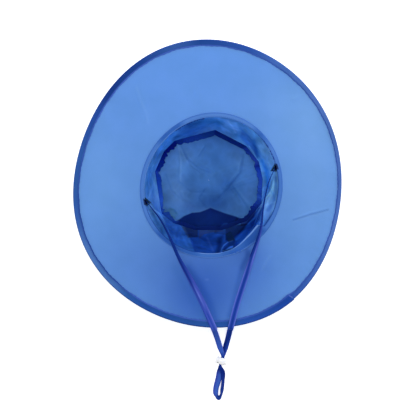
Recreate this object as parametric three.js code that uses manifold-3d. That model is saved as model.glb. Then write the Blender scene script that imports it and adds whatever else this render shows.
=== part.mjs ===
// A foldable sun hat lying on its crown, with the underside of the brim up, and its chin strap laid over it.
// Units are millimetres. The origin is on the floor below the middle of the head opening, +Z is up, and the
// strap runs towards -Y.
import * as THREE from "three";
import { mergeVertices } from "three/addons/utils/BufferGeometryUtils.js";
import Module from "manifold-3d";

// Driving dimensions
const CROWN_DEPTH = 95; // from the floor up to the brim's inner edge
const CLOTH = 1; // thickness of each layer of cloth
const GAP = 0.35; // between two pieces that touch on the real hat
const TOP_THICKNESS = 1.2; // crown top
const BRIM_STEPS = 80; // columns round the brim
const BAND_STEPS = 60;
const CROWN_STEPS = 60; // columns round the crown, besides those at its corners and slits
const COLUMN_GAP = 2; // degrees between an even column and one at a corner

// Brim
const BRIM_RINGS = [0, 0.08, 0.22, 0.4, 0.6, 0.8, 1]; // where its rings lie, from the opening to the edge
const DROOP_POWER = 1.3; // how the droop grows from the opening to the edge
// Waves round the hat: the radius of the wall's middle at the head opening, and the brim's edge, its radius in
// plan and its lift above the opening.
const WAVES = [
  { turns: 0, openingCos: 90.7, openingSin: 0, edgeCos: 188.7, edgeSin: 0, liftCos: -12.5 },
  { turns: 1, openingCos: 0.3, openingSin: -3.1, edgeCos: -2.8, edgeSin: -1.5, liftCos: -10 },
  { turns: 2, openingCos: -0.9, openingSin: 1.7, edgeCos: -4, edgeSin: 0.3, liftCos: -17.5 },
  { turns: 3, openingCos: -0.4, openingSin: -0.6, edgeCos: -1.1, edgeSin: -1.2, liftCos: 0 },
  { turns: 4, openingCos: 0, openingSin: 0, edgeCos: -0.3, edgeSin: 1.8, liftCos: 0 },
];

// Binding tape, folded over the brim's edge
const BINDING_WIDTH = 9;
const BINDING_FOLD = 4.2; // depth of the solid fold that holds the wire
const BINDING_NOSE = { half: 0.7, depth: 1, swell: 0.1 }; // the rounded outer edge of the fold
// The tape's end, laid over its start
const BINDING_LAP = { angle: 305.5, fade: 20, extra: 1, lift: 0.35, step: 0.4 };

// Tape round the head opening
const BAND_WIDTH = 6;
const BAND_THICKNESS = 1;
const BAND_INSET = 0.3; // from the wall's middle in to its inner edge
const BAND_CROWN = 0.3; // how far its middle stands above its edges
const BAND_BEND = 1; // out from the brim's inner edge, where its lower face turns to follow the brim

// The seam between the crown's wall and its top, whose corners are seen from its own centre.
const SEAM_CENTRE = { x: -4, y: 8 };
const SEAM_CORNERS = [
  { angle: 1, radius: 77.1 },
  { angle: 20, radius: 76.3 },
  { angle: 42, radius: 72.3 },
  { angle: 82.5, radius: 72 },
  { angle: 131, radius: 74.1 },
  { angle: 147.5, radius: 75.7 },
  { angle: 171, radius: 77.5 },
  { angle: 195, radius: 74.2 },
  { angle: 215.5, radius: 82.2 },
  { angle: 231, radius: 79.2 },
  { angle: 254.5, radius: 73.9 },
  { angle: 285.5, radius: 73.9 },
  { angle: 313, radius: 79.9 },
  { angle: 336, radius: 82.6 },
];
// In plan from the seam, and up towards its inner edge
const SEAM_STRIP = { inset: 0.8, width: 7.4, rise: 1.6 };

// Rows of the crown's wall, from the opening down: height, share of the way in to the seam, bulge outwards,
// how much of a pocket's and a slit's depth the row takes, and how far a pocket lifts it.
const WALL_ROWS = [
  { height: 94.5, toSeam: 0, bulge: 0, pocket: 0, slit: 1, rise: 0 },
  { height: 90, toSeam: 0.03, bulge: 0.3, pocket: 0.35, slit: 0.8, rise: -5 },
  { height: 85, toSeam: 0.07, bulge: 0.6, pocket: 0.68, slit: 0.45, rise: -6 },
  { height: 79, toSeam: 0.13, bulge: 0.9, pocket: 1, slit: 0.1, rise: 4 },
  { height: 73, toSeam: 0.18, bulge: 1.2, pocket: 0.9, slit: 0, rise: 0 },
  { height: 60, toSeam: 0.3, bulge: 1.8, pocket: 0.55, slit: 0, rise: 0 },
  { height: 42, toSeam: 0.48, bulge: 2.6, pocket: 0.22, slit: 0, rise: 0 },
  { height: 24, toSeam: 0.66, bulge: 3.6, pocket: 0, slit: 0, rise: 0 },
  { height: 10, toSeam: 0.82, bulge: 4, pocket: 0, slit: 0, rise: 0 },
  { height: 3.5, toSeam: 0.93, bulge: 2.2, pocket: 0, slit: 0, rise: 0 },
  { height: 0.7, toSeam: 1, bulge: 0, pocket: 0, slit: 0, rise: 0 },
];
// Where the strap draws the wall in under the opening, in degrees round the hat.
const POCKETS = [
  { from: 197, peak: 213, to: 240, depth: 12 },
  { from: 288, peak: 333, to: 372, depth: 15 },
];
// Dents and folds of the wall: middle, half size round the hat and up the wall, and depth inwards.
const DENTS = [
  { angle: 256, spread: 17, height: 36, reach: 26, depth: 6 },
  { angle: 283, spread: 12, height: 30, reach: 24, depth: -3 },
  { angle: 112, spread: 24, height: 16, reach: 18, depth: 4 },
  { angle: 40, spread: 20, height: 42, reach: 32, depth: 5 },
  { angle: 163, spread: 16, height: 50, reach: 34, depth: 4 },
];
// The two slits, where the wall's top edge hangs free: it leaves the opening, reaches its lip and comes back.
const SLITS = [
  { from: 192.8, lip: 197.1, to: 198.6, depth: 5.8, notch: { x: -84.9, y: -27.7, heading: -56 } },
  { from: 16.7, lip: 12.6, to: 11.2, depth: 5.8, notch: { x: 83.7, y: 18.1, heading: 66 } },
];
const NOTCH = { length: 7, width: 2.6, height: 10.5, above: 0.5 }; // it starts above the wall's top edge
const POCKET_POWER = 1.5; // how gently a pocket starts and ends

// Flap of the wall's closing seam: its two edges, in degrees round the hat, by row of the wall
const FLAP_ROWS = [
  { row: 0.35, left: 277.8, right: 290 },
  { row: 1, left: 279, right: 290.6 },
  { row: 2, left: 281, right: 291 },
  { row: 3, left: 283.5, right: 291.4 },
  { row: 4, left: 285.5, right: 292 },
  { row: 5, left: 286.5, right: 293 },
  { row: 6, left: 287, right: 293.5 },
  { row: 7, left: 287, right: 293.5 },
  { row: 8, left: 287, right: 293.5 },
];
const FLAP_COLUMNS = 3;
const FLAP_STAND_OFF = 1.95; // from the wall's middle to the flap's, so that it clears the wall's folds

// Chin strap: the tape's middle line, its direction in plan, which turns on round the tail, its roll about that
// line and its width, which gathers in the cord lock.
const STRAP_THICKNESS = 1;
const STRAP_ROUNDING = 0.4; // of its two edges
const STRAP_STEP = 15; // longest step along the tape
const STRAP_ROUTE = [
  { x: -87.3, y: -24.3, z: 90.4, heading: -55, roll: 88, width: 8 },
  { x: -69.8, y: -47, z: 91, heading: -56, roll: 77, width: 8 },
  { x: -57.2, y: -68.4, z: 101, heading: -60.5, roll: 68, width: 8 },
  { x: -42.9, y: -100.9, z: 99.5, heading: -65, roll: 54, width: 8 },
  { x: -27.2, y: -129.6, z: 99.8, heading: -63.5, roll: 24, width: 8 },
  { x: -11, y: -161.6, z: 99.8, heading: -64, roll: 2, width: 8 },
  { x: 0.3, y: -186.4, z: 102.6, heading: -67, roll: 0, width: 8 },
  { x: 3.1, y: -192.7, z: 102.2, heading: -72, roll: 0, width: 8 },
  { x: 4.1, y: -195.4, z: 99, heading: -76, roll: 0, width: 8 },
  { x: 4, y: -196.2, z: 90, heading: -78, roll: 0, width: 8 },
  { x: 1.4, y: -202.5, z: 10, heading: -74, roll: 0, width: 8 },
  { x: 6.8, y: -217, z: 1.5, heading: -70, roll: 0, width: 8 },
  { x: 12.6, y: -235, z: 2.6, heading: -74, roll: 0, width: 7.8 },
  { x: 16.75, y: -248.28, z: 6.25, heading: -110, roll: 0, width: 4.6 },
  { x: 12.8, y: -260.6, z: 6.25, heading: -110, roll: 0, width: 3.6 },
  { x: 16.4, y: -270, z: 4.7, heading: -86, roll: -8, width: 6.6 },
  { x: 17, y: -282, z: 4, heading: -96, roll: -56, width: 8 },
  { x: 15.4, y: -296.5, z: 3.9, heading: -96, roll: -52, width: 8 },
  { x: 14.8, y: -301.3, z: 4, heading: -83, roll: -60, width: 7.6 },
  { x: 13.1, y: -305.5, z: 3.1, heading: -155, roll: -55, width: 5.9 },
  { x: 10.7, y: -308.6, z: 2.7, heading: -190, roll: -30, width: 8 },
  { x: 7.9, y: -305.5, z: 2.9, heading: -237, roll: -40, width: 6.9 },
  { x: 6.3, y: -301.9, z: 2.3, heading: -270, roll: -24, width: 8 },
  { x: 6.8, y: -294, z: 1.7, heading: -282, roll: -12, width: 8.2 },
  { x: 10.6, y: -280, z: 1.7, heading: -284, roll: -8, width: 9.2 },
  { x: 12.2, y: -270.5, z: 2.2, heading: -283, roll: -2, width: 9 },
  { x: 12.8, y: -260.6, z: 4.55, heading: -290, roll: 0, width: 3.6 },
  { x: 16.48, y: -249.03, z: 4.55, heading: -290, roll: 0, width: 4.6 },
  { x: 20.4, y: -236, z: 1.4, heading: -285, roll: 0, width: 7.8 },
  { x: 24.9, y: -219, z: 1.3, heading: -282, roll: 0, width: 8 },
  { x: 27.9, y: -203, z: 11, heading: -281, roll: 0, width: 8 },
  { x: 27.4, y: -196.2, z: 92, heading: -281, roll: 0, width: 8 },
  { x: 27.2, y: -193.8, z: 101, heading: -282, roll: 0, width: 8 },
  { x: 27.2, y: -186.4, z: 101.5, heading: -285, roll: 0, width: 8 },
  { x: 34, y: -161.5, z: 97.8, heading: -286.5, roll: 2, width: 8 },
  { x: 52.2, y: -105, z: 98.2, heading: -288, roll: 24, width: 8 },
  { x: 65.1, y: -63.6, z: 101.3, heading: -283.5, roll: 64, width: 8 },
  { x: 69.8, y: -30, z: 92, heading: -277, roll: 77, width: 8 },
  { x: 76.8, y: 1, z: 90.4, heading: -287, roll: 84, width: 8 },
  { x: 85.1, y: 20.5, z: 90.4, heading: -294, roll: 88, width: 8 },
];

// Cord lock: a barrel lying on the floor, its button on the +X end of its own frame
const LOCK = { x: 14.6, y: -254.2, z: 5.4, turn: -20 };
const BARREL = { from: -8.8, to: 5, radius: 5.2, rim: 1.2, bore: 3.75, boreFrom: -7.4 };
const BUTTON = { from: -3.95, to: 8.4, radius: 3.4, rim: 0.9 };
const CORD_HOLE = { from: -2.65, to: 2.65, height: 3.9 };
// Longer than the hole, so that the pressed button clears the tape
const BUTTON_SLOT = { from: -2.65, to: 5.65 };
const CUT_THROUGH = 20; // length of a cutter that passes right through the lock
const ROUND_SIDES = 20;
const RIM_SHARE = 0.3; // how far round the rim its middle point lies

const material = (color, roughness) => new THREE.MeshStandardMaterial({ color, roughness, metalness: 0 });
const BRIM_CLOTH = material(0x6ba0e6, 0.7);
const CROWN_CLOTH = material(0x4f83d0, 0.7);
const DARK_TAPE = material(0x2d4f9e, 0.75);
const PALE_TAPE = material(0x7f9fe0, 0.75);
const STRAP_TAPE = material(0x4a66c4, 0.8);
const WHITE_PLASTIC = material(0xf2f2f2, 0.35);

const radians = THREE.MathUtils.degToRad;
const wrap = (angle) => ((angle % 360) + 360) % 360;

// Meshes from grids of points

// A closed mesh from vertices and quads, each quad split along one diagonal.
function quadMesh(points, quads) {
  const geometry = new THREE.BufferGeometry();
  const numbers = points.flatMap((p) => [p.x, p.y, p.z]);
  geometry.setAttribute("position", new THREE.Float32BufferAttribute(numbers, 3));
  geometry.setIndex(quads.flatMap(([a, b, c, d]) => [a, b, c, a, c, d]));
  return geometry;
}

// A ring swept round the hat: rings[i] is one closed section, and the last section joins the first.
function sweptRing(rings) {
  const size = rings[0].length;
  const quads = rings.flatMap((_, i) => {
    const next = (i + 1) % rings.length;
    return rings[i].map((_, j) => {
      const k = (j + 1) % size;
      return [i * size + j, next * size + j, next * size + k, i * size + k];
    });
  });
  return quadMesh(rings.flat(), quads);
}

// Normals of a grid of points, rows[i][j]; a closed grid joins its last column to its first.
function gridNormals(rows, closed) {
  const columns = rows[0].length;
  const at = (i, j) => rows[i][closed ? (j + columns) % columns : THREE.MathUtils.clamp(j, 0, columns - 1)];
  return rows.map((row, i) =>
    row.map((_, j) => {
      const along = at(i, j + 1).clone().sub(at(i, j - 1));
      const down = at(Math.min(i + 1, rows.length - 1), j).clone().sub(at(Math.max(i - 1, 0), j));
      return along.cross(down).normalize();
    }),
  );
}

// A sheet of cloth of one thickness round a grid of points.
function clothShell(rows, thickness, closed) {
  const normals = gridNormals(rows, closed);
  const columns = rows[0].length;
  const side = (sign) => rows.flatMap((row, i) =>
    row.map((p, j) => p.clone().addScaledVector(normals[i][j], (sign * thickness) / 2)),
  );
  const points = [...side(1), ...side(-1)];
  const back = rows.length * columns;
  const spans = closed ? columns : columns - 1;
  const quads = [];
  for (let j = 0; j < spans; j++) {
    const k = (j + 1) % columns;
    for (let i = 0; i < rows.length - 1; i++) {
      const [a, b, c, d] = [i * columns + j, i * columns + k, (i + 1) * columns + k, (i + 1) * columns + j];
      quads.push([a, b, c, d]);
      quads.push([back + a, back + d, back + c, back + b]);
    }
    const last = (rows.length - 1) * columns;
    quads.push([k, j, back + j, back + k]);
    quads.push([last + j, last + k, back + last + k, back + last + j]);
  }
  if (!closed) {
    for (let i = 0; i < rows.length - 1; i++) {
      const [a, b] = [i * columns, (i + 1) * columns];
      const [c, d] = [a + columns - 1, b + columns - 1];
      quads.push([a, b, back + b, back + a]);
      quads.push([d, c, back + c, back + d]);
    }
  }
  return quadMesh(points, quads);
}

// Brim

const waveAt = (angle, cosKey, sinKey) =>
  WAVES.reduce((sum, wave) => {
    const turn = radians(wave.turns * angle);
    return sum + wave[cosKey] * Math.cos(turn) + (sinKey ? wave[sinKey] * Math.sin(turn) : 0);
  }, 0);
const openingRadius = (angle) => waveAt(angle, "openingCos", "openingSin");
const brimInnerRadius = (angle) => openingRadius(angle) + CLOTH / 2 + GAP;
const edgeRadius = (angle) => waveAt(angle, "edgeCos", "edgeSin");
const edgeLift = (angle) => waveAt(angle, "liftCos");

// Middle of the brim's cloth; share is 0 at its inner edge and 1 at the binding's outer edge.
function brimPoint(angle, share) {
  const inner = brimInnerRadius(angle);
  const radius = inner + share * (edgeRadius(angle) - inner);
  const droop = edgeLift(angle) * Math.sign(share) * Math.abs(share) ** DROOP_POWER;
  const turn = radians(angle);
  return new THREE.Vector3(
    radius * Math.cos(turn),
    radius * Math.sin(turn),
    CROWN_DEPTH - CLOTH / 2 + droop,
  );
}

function evenAngles(steps) {
  return Array.from({ length: steps }, (_, i) => (360 * i) / steps);
}

function brim() {
  const angles = evenAngles(BRIM_STEPS);
  const rows = BRIM_RINGS.map((ring) =>
    angles.map((angle) => {
      const room = edgeRadius(angle) - brimInnerRadius(angle);
      return brimPoint(angle, ring * (1 - (BINDING_FOLD + GAP) / room));
    }),
  );
  return clothShell(rows, CLOTH, true);
}

// Binding: u runs in from the edge, v up from the middle of the brim's cloth.
function bindingSection(lap) {
  const slot = CLOTH / 2 + GAP;
  const outer = slot + CLOTH + lap * BINDING_LAP.lift;
  const nose = -lap * BINDING_LAP.extra;
  return [
    { u: nose, v: BINDING_NOSE.half },
    { u: nose + BINDING_NOSE.depth, v: outer + BINDING_NOSE.swell },
    { u: BINDING_WIDTH, v: outer },
    { u: BINDING_WIDTH, v: slot },
    { u: BINDING_FOLD, v: slot },
    { u: BINDING_FOLD, v: -slot },
    { u: BINDING_WIDTH, v: -slot },
    { u: BINDING_WIDTH, v: -outer },
    { u: nose + BINDING_NOSE.depth, v: -outer - BINDING_NOSE.swell },
    { u: nose, v: -BINDING_NOSE.half },
  ];
}

function binding() {
  const lapEnd = BINDING_LAP.angle;
  const angles = evenAngles(BRIM_STEPS).filter((angle) => Math.abs(angle - lapEnd) > BINDING_LAP.step * 2);
  angles.push(lapEnd, lapEnd + BINDING_LAP.step);
  angles.sort((a, b) => a - b);
  const rings = angles.map((angle) => {
    const lap = angle > lapEnd ? 0 : Math.max(0, 1 - (lapEnd - angle) / BINDING_LAP.fade);
    const edge = brimPoint(angle, 1);
    const outwards = edge.clone().sub(brimPoint(angle, 0.9)).normalize();
    const along = brimPoint(angle + 1, 1).sub(brimPoint(angle - 1, 1)).normalize();
    const up = outwards.clone().cross(along).normalize();
    return bindingSection(lap).map(({ u, v }) =>
      edge.clone().addScaledVector(outwards, -u).addScaledVector(up, v),
    );
  });
  return sweptRing(rings);
}

function rimBand() {
  const rings = evenAngles(BAND_STEPS).map((angle) => {
    const turn = radians(angle);
    const inner = openingRadius(angle) - BAND_INSET;
    const outer = inner + BAND_WIDTH;
    const middle = inner + BAND_WIDTH / 2;
    const brimInner = brimInnerRadius(angle);
    const at = (radius, above) => {
      const share = (radius - brimInner) / (edgeRadius(angle) - brimInner);
      const base = brimPoint(angle, Math.max(share, 0)).z + CLOTH / 2 + GAP;
      return new THREE.Vector3(radius * Math.cos(turn), radius * Math.sin(turn), base + above);
    };
    return [
      at(inner, 0),
      at(brimInner + BAND_BEND, 0),
      at(outer, 0),
      at(outer, BAND_THICKNESS),
      at(middle, BAND_THICKNESS + BAND_CROWN),
      at(inner, BAND_THICKNESS),
    ];
  });
  return sweptRing(rings);
}

// Crown

// Radius of the seam at an angle about its centre, on the straight line between two corners.
function seamRadius(angle) {
  const turn = wrap(angle);
  const next = SEAM_CORNERS.findIndex((corner) => corner.angle > turn);
  const b = SEAM_CORNERS[next < 0 ? 0 : next];
  const a = SEAM_CORNERS.at(next < 0 ? -1 : next - 1);
  const fromA = radians(wrap(turn - a.angle));
  const toB = radians(wrap(b.angle - turn));
  const area = a.radius * b.radius * Math.sin(fromA + toB);
  return area / (a.radius * Math.sin(fromA) + b.radius * Math.sin(toB));
}

function seamPoint(angle, outwards, z) {
  const radius = seamRadius(angle) + outwards;
  const turn = radians(angle);
  return new THREE.Vector3(
    SEAM_CENTRE.x + radius * Math.cos(turn),
    SEAM_CENTRE.y + radius * Math.sin(turn),
    z,
  );
}

// How deep a pocket draws the wall in at an angle, from 0 to 1.
function pocketShare(pocket, angle) {
  const after = wrap(angle - pocket.from);
  const rise = pocket.peak - pocket.from;
  const fall = pocket.to - pocket.peak;
  if (after >= rise + fall) return 0;
  const share = after < rise ? after / rise : (rise + fall - after) / fall;
  return Math.sin((share * Math.PI) / 2) ** POCKET_POWER;
}

function slitDepth(angle) {
  return SLITS.reduce((sum, slit) => {
    const way = Math.sign(slit.to - slit.from);
    const after = way * (wrap(angle - slit.from + 180) - 180);
    const rise = Math.abs(slit.lip - slit.from);
    const whole = Math.abs(slit.to - slit.from);
    if (after <= 0 || after >= whole) return sum;
    return sum + slit.depth * (after < rise ? after / rise : (whole - after) / (whole - rise));
  }, 0);
}

function dentDepth(angle, height) {
  return DENTS.reduce((sum, dent) => {
    const round = Math.abs(wrap(angle - dent.angle + 180) - 180) / dent.spread;
    const up = Math.abs(height - dent.height) / dent.reach;
    return sum + dent.depth * Math.max(0, 1 - round) * Math.max(0, 1 - up);
  }, 0);
}

// A point of the wall's middle; row may be a fraction, between two rows of the table.
function wallPoint(angle, row) {
  const low = Math.min(Math.floor(row), WALL_ROWS.length - 2);
  const mix = (key) => THREE.MathUtils.lerp(WALL_ROWS[low][key], WALL_ROWS[low + 1][key], row - low);
  const turn = radians(angle);
  const top = new THREE.Vector3(Math.cos(turn), Math.sin(turn), 0).multiplyScalar(openingRadius(angle));
  const point = top.lerp(seamPoint(angle, GAP + CLOTH / 2, 0), mix("toSeam"));
  const pocket = POCKETS.reduce((sum, p) => sum + p.depth * pocketShare(p, angle), 0);
  const lifted = POCKETS.reduce((sum, p) => sum + pocketShare(p, angle), 0);
  const height = mix("height");
  const inwards = pocket * mix("pocket") + slitDepth(angle) * mix("slit") + dentDepth(angle, height);
  const outwards = mix("bulge") - inwards;
  point.x += outwards * Math.cos(turn);
  point.y += outwards * Math.sin(turn);
  point.z = height + lifted * mix("rise");
  return point;
}

// Even columns round the crown, and one at each corner of the seam and each end of a slit.
function crownAngles() {
  const own = [...SEAM_CORNERS.map((corner) => corner.angle), ...SLITS.flatMap((s) => [s.from, s.lip, s.to])];
  const even = evenAngles(CROWN_STEPS).filter((angle) => own.every((o) => Math.abs(o - angle) > COLUMN_GAP));
  return [...own, ...even].sort((a, b) => a - b);
}

function crownWall() {
  const rows = WALL_ROWS.map((_, row) => crownAngles().map((angle) => wallPoint(angle, row)));
  const notches = SLITS.map(({ notch }) => {
    const box = new THREE.BoxGeometry(NOTCH.length, NOTCH.width, NOTCH.height);
    box.rotateZ(radians(notch.heading));
    return box.translate(notch.x, notch.y, CROWN_DEPTH + NOTCH.above - NOTCH.height / 2);
  });
  return cutSolid(clothShell(rows, CLOTH, true), notches);
}

function crownTop() {
  const outline = new THREE.Shape(crownAngles().map((angle) => {
    const p = seamPoint(angle, -GAP, 0);
    return new THREE.Vector2(p.x, p.y);
  }));
  return new THREE.ExtrudeGeometry(outline, { depth: TOP_THICKNESS, bevelEnabled: false });
}

function crownSeam() {
  const low = TOP_THICKNESS + GAP + CLOTH / 2;
  const { inset, width, rise } = SEAM_STRIP;
  const rows = [0, 0.5, 1].map((share) =>
    crownAngles().map((angle) => seamPoint(angle, -inset - share * width, low + share * rise)),
  );
  return clothShell(rows, CLOTH, true);
}

function sideSeam() {
  const shares = Array.from({ length: FLAP_COLUMNS }, (_, i) => i / (FLAP_COLUMNS - 1));
  const rows = FLAP_ROWS.map(({ row, left, right }) =>
    shares.map((share) => {
      const angle = THREE.MathUtils.lerp(left, right, share);
      const point = wallPoint(angle, row);
      const inwards = new THREE.Vector3(-Math.cos(radians(angle)), -Math.sin(radians(angle)), 0);
      return point.addScaledVector(inwards, FLAP_STAND_OFF);
    }),
  );
  return clothShell(rows, CLOTH, false);
}

// Chin strap

function tapeSection(width) {
  const w = width / 2;
  const t = STRAP_THICKNESS / 2;
  const side = t - STRAP_ROUNDING / 2;
  const flat = w - STRAP_ROUNDING;
  return [[w, -side], [w, side], [flat, t], [-flat, t], [-w, side], [-w, -side], [-flat, -t], [flat, -t]];
}

function chinStrap() {
  const curve = new THREE.CatmullRomCurve3(
    STRAP_ROUTE.map(({ x, y, z }) => new THREE.Vector3(x, y, z)), false, "centripetal",
  );
  const last = STRAP_ROUTE.length - 1;
  const stations = [];
  for (let i = 0; i < last; i++) {
    const length = curve.points[i].distanceTo(curve.points[i + 1]);
    const steps = Math.ceil(length / STRAP_STEP);
    for (let k = 0; k < steps; k++) stations.push(i + k / steps);
  }
  stations.push(last);
  const rings = stations.map((station) => {
    const low = Math.min(Math.floor(station), last - 1);
    const [a, b] = [STRAP_ROUTE[low], STRAP_ROUTE[low + 1]];
    const mix = (key) => THREE.MathUtils.lerp(a[key], b[key], station - low);
    const centre = curve.getPoint(station / last);
    const forwards = curve.getTangent(station / last);
    const heading = radians(mix("heading"));
    const left = new THREE.Vector3(-Math.sin(heading), Math.cos(heading), 0);
    left.addScaledVector(forwards, -left.dot(forwards)).normalize();
    const up = forwards.clone().cross(left);
    const roll = radians(mix("roll"));
    const across = left.clone().multiplyScalar(Math.cos(roll)).addScaledVector(up, Math.sin(roll));
    const face = forwards.clone().cross(across);
    return tapeSection(mix("width")).map(([side, out]) =>
      centre.clone().addScaledVector(across, side).addScaledVector(face, out),
    );
  });
  const size = rings[0].length;
  const quads = [];
  for (let i = 0; i < rings.length - 1; i++) {
    for (let j = 0; j < size; j++) {
      const k = (j + 1) % size;
      quads.push([i * size + j, i * size + k, (i + 1) * size + k, (i + 1) * size + j]);
    }
  }
  const end = (rings.length - 1) * size;
  for (let j = 1; j < size - 2; j += 2) {
    quads.push([0, j, j + 1, j + 2].reverse());
    quads.push([end, end + j, end + j + 1, end + j + 2]);
  }
  return quadMesh(rings.flat(), quads);
}

// Cord lock

const wasm = await Module();
wasm.setup();

function toSolid(geometry) {
  const bare = geometry.clone();
  bare.deleteAttribute("normal");
  bare.deleteAttribute("uv");
  const merged = mergeVertices(bare, 1e-4);
  return new wasm.Manifold(new wasm.Mesh({
    numProp: 3,
    vertProperties: merged.attributes.position.array,
    triVerts: new Uint32Array(merged.index.array),
  }));
}

function cutSolid(geometry, cutters) {
  let solid = toSolid(geometry);
  for (const cutter of cutters) solid = solid.subtract(toSolid(cutter));
  const { vertProperties, triVerts } = solid.getMesh();
  const cut = new THREE.BufferGeometry();
  cut.setAttribute("position", new THREE.BufferAttribute(vertProperties, 3));
  cut.setIndex(new THREE.BufferAttribute(triVerts, 1));
  return cut;
}

// A round bar along X with rounded rims at both ends.
function roundBar(from, to, radius, rim) {
  const profile = [
    new THREE.Vector2(0, from),
    new THREE.Vector2(radius - rim, from),
    new THREE.Vector2(radius - rim * RIM_SHARE, from + rim * RIM_SHARE),
    new THREE.Vector2(radius, from + rim),
    new THREE.Vector2(radius, to - rim),
    new THREE.Vector2(radius - rim * RIM_SHARE, to - rim * RIM_SHARE),
    new THREE.Vector2(radius - rim, to),
    new THREE.Vector2(0, to),
  ];
  return new THREE.LatheGeometry(profile, ROUND_SIDES).rotateZ(-Math.PI / 2);
}

function boxBetween(from, to, depth, height) {
  return new THREE.BoxGeometry(to - from, depth, height).translate((from + to) / 2, 0, 0);
}

function lockBody() {
  const barrel = roundBar(BARREL.from, BARREL.to, BARREL.radius, BARREL.rim);
  const bore = new THREE.CylinderGeometry(BARREL.bore, BARREL.bore, CUT_THROUGH, ROUND_SIDES)
    .rotateZ(Math.PI / 2)
    .translate(BARREL.boreFrom + CUT_THROUGH / 2, 0, 0);
  const hole = boxBetween(CORD_HOLE.from, CORD_HOLE.to, CUT_THROUGH, CORD_HOLE.height);
  return cutSolid(barrel, [bore, hole]);
}

function lockButton() {
  const bar = roundBar(BUTTON.from, BUTTON.to, BUTTON.radius, BUTTON.rim);
  return cutSolid(bar, [boxBetween(BUTTON_SLOT.from, BUTTON_SLOT.to, CUT_THROUGH, CORD_HOLE.height)]);
}

function named(name, geometry, finish) {
  const mesh = new THREE.Mesh(geometry, finish);
  mesh.name = name;
  return mesh;
}

const lock = new THREE.Group();
lock.position.set(LOCK.x, LOCK.y, LOCK.z);
lock.rotation.z = radians(LOCK.turn);
lock.add(
  named("cord_lock_body", lockBody(), WHITE_PLASTIC),
  named("cord_lock_button", lockButton(), WHITE_PLASTIC),
);

const hat = new THREE.Group();
hat.add(
  named("brim", brim(), BRIM_CLOTH),
  named("brim_binding", binding(), DARK_TAPE),
  named("rim_band", rimBand(), PALE_TAPE),
  named("crown_side", crownWall(), CROWN_CLOTH),
  named("crown_top", crownTop(), CROWN_CLOTH),
  named("crown_seam", crownSeam(), DARK_TAPE),
  named("side_seam", sideSeam(), CROWN_CLOTH),
  named("chin_strap", chinStrap(), STRAP_TAPE),
  lock,
);

export default hat;
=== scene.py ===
"""Looks of a foldable sun hat that lies on its crown, with its chin strap laid over the brim.

Everything is in metres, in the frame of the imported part: the floor is z = 0, the head opening is round the Z axis,
and the cord lock lies towards -Y. Angles are in degrees round the Z axis.
"""

import math

import bpy
import numpy as np
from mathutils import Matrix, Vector, noise


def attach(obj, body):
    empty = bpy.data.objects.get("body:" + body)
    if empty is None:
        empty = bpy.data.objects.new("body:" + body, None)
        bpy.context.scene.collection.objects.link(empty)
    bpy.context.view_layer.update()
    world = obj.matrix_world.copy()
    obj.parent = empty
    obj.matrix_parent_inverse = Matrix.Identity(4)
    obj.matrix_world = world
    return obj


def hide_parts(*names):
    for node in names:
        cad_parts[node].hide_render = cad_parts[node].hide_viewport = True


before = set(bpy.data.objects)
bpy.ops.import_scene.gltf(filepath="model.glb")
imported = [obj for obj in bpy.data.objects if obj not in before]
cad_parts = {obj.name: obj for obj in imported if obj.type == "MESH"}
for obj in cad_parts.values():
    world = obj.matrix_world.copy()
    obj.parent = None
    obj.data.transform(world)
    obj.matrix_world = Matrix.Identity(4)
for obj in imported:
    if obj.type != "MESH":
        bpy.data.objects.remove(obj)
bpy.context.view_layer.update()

# Camera: it looks straight down, as in the photo
PHOTO_SIDE = 420  # pixels of the photo's frame
CAMERA_PLACE = (-0.002, -0.0356, 1.2)
SENSOR_MM = 36
LENS_MM = 70.68
PIXELS_PER_SLOPE = LENS_MM / SENSOR_MM * PHOTO_SIDE

# Sizes that the part's source has too
CROWN_DEPTH = 0.095
OPENING_COS = (0.0907, 0.0003, -0.0009, -0.0004)
OPENING_SIN = (0, -0.0031, 0.0017, -0.0006)
CAD_CLOTH = 0.001
GAP = 0.00035
TOP_THICKNESS = 0.0012
DROOP_POWER = 1.3
EDGE_RADIUS_COS = (0.1887, -0.0028, -0.004, -0.0011, -0.0003)
EDGE_RADIUS_SIN = (0, -0.0015, 0.0003, -0.0012, 0.0018)
EDGE_LIFT_COS = (-0.0125, -0.010, -0.0175)
BINDING_FOLD = 0.0042
BINDING_LAP = {"angle": 305.5, "fade": 20, "extra": 0.001, "lift": 0.00035}
BAND_WIDTH = 0.006
BAND_INSET = 0.0003

SEAM_CENTRE = (-0.004, 0.008)
# angle, radius of each corner of the seam round the crown's top
SEAM_CORNERS = (
    (1, 0.0771), (20, 0.0763), (42, 0.0723), (82.5, 0.072), (131, 0.0741), (147.5, 0.0757), (171, 0.0775),
    (195, 0.0742), (215.5, 0.0822), (231, 0.0792), (254.5, 0.0739), (285.5, 0.0739), (313, 0.0799), (336, 0.0826),
)

# Rows of the crown's wall: height, share of the way in to the seam, bulge, pocket share, slit share, pocket's rise
WALL_ROWS = (
    (0.0945, 0, 0, 0, 1, 0),
    (0.090, 0.03, 0.0003, 0.35, 0.8, -0.005),
    (0.085, 0.07, 0.0006, 0.68, 0.45, -0.006),
    (0.079, 0.13, 0.0009, 1, 0.1, 0.004),
    (0.073, 0.18, 0.0012, 0.9, 0, 0),
    (0.060, 0.3, 0.0018, 0.55, 0, 0),
    (0.042, 0.48, 0.0026, 0.22, 0, 0),
    (0.024, 0.66, 0.0036, 0, 0, 0),
    (0.010, 0.82, 0.004, 0, 0, 0),
    (0.0035, 0.93, 0.0022, 0, 0, 0),
    (0.0007, 1, 0, 0, 0, 0),
)
# from, peak and to angle, depth
POCKETS = ((197, 213, 240, 0.012), (288, 333, 372, 0.015))
POCKET_POWER = 1.5
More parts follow.
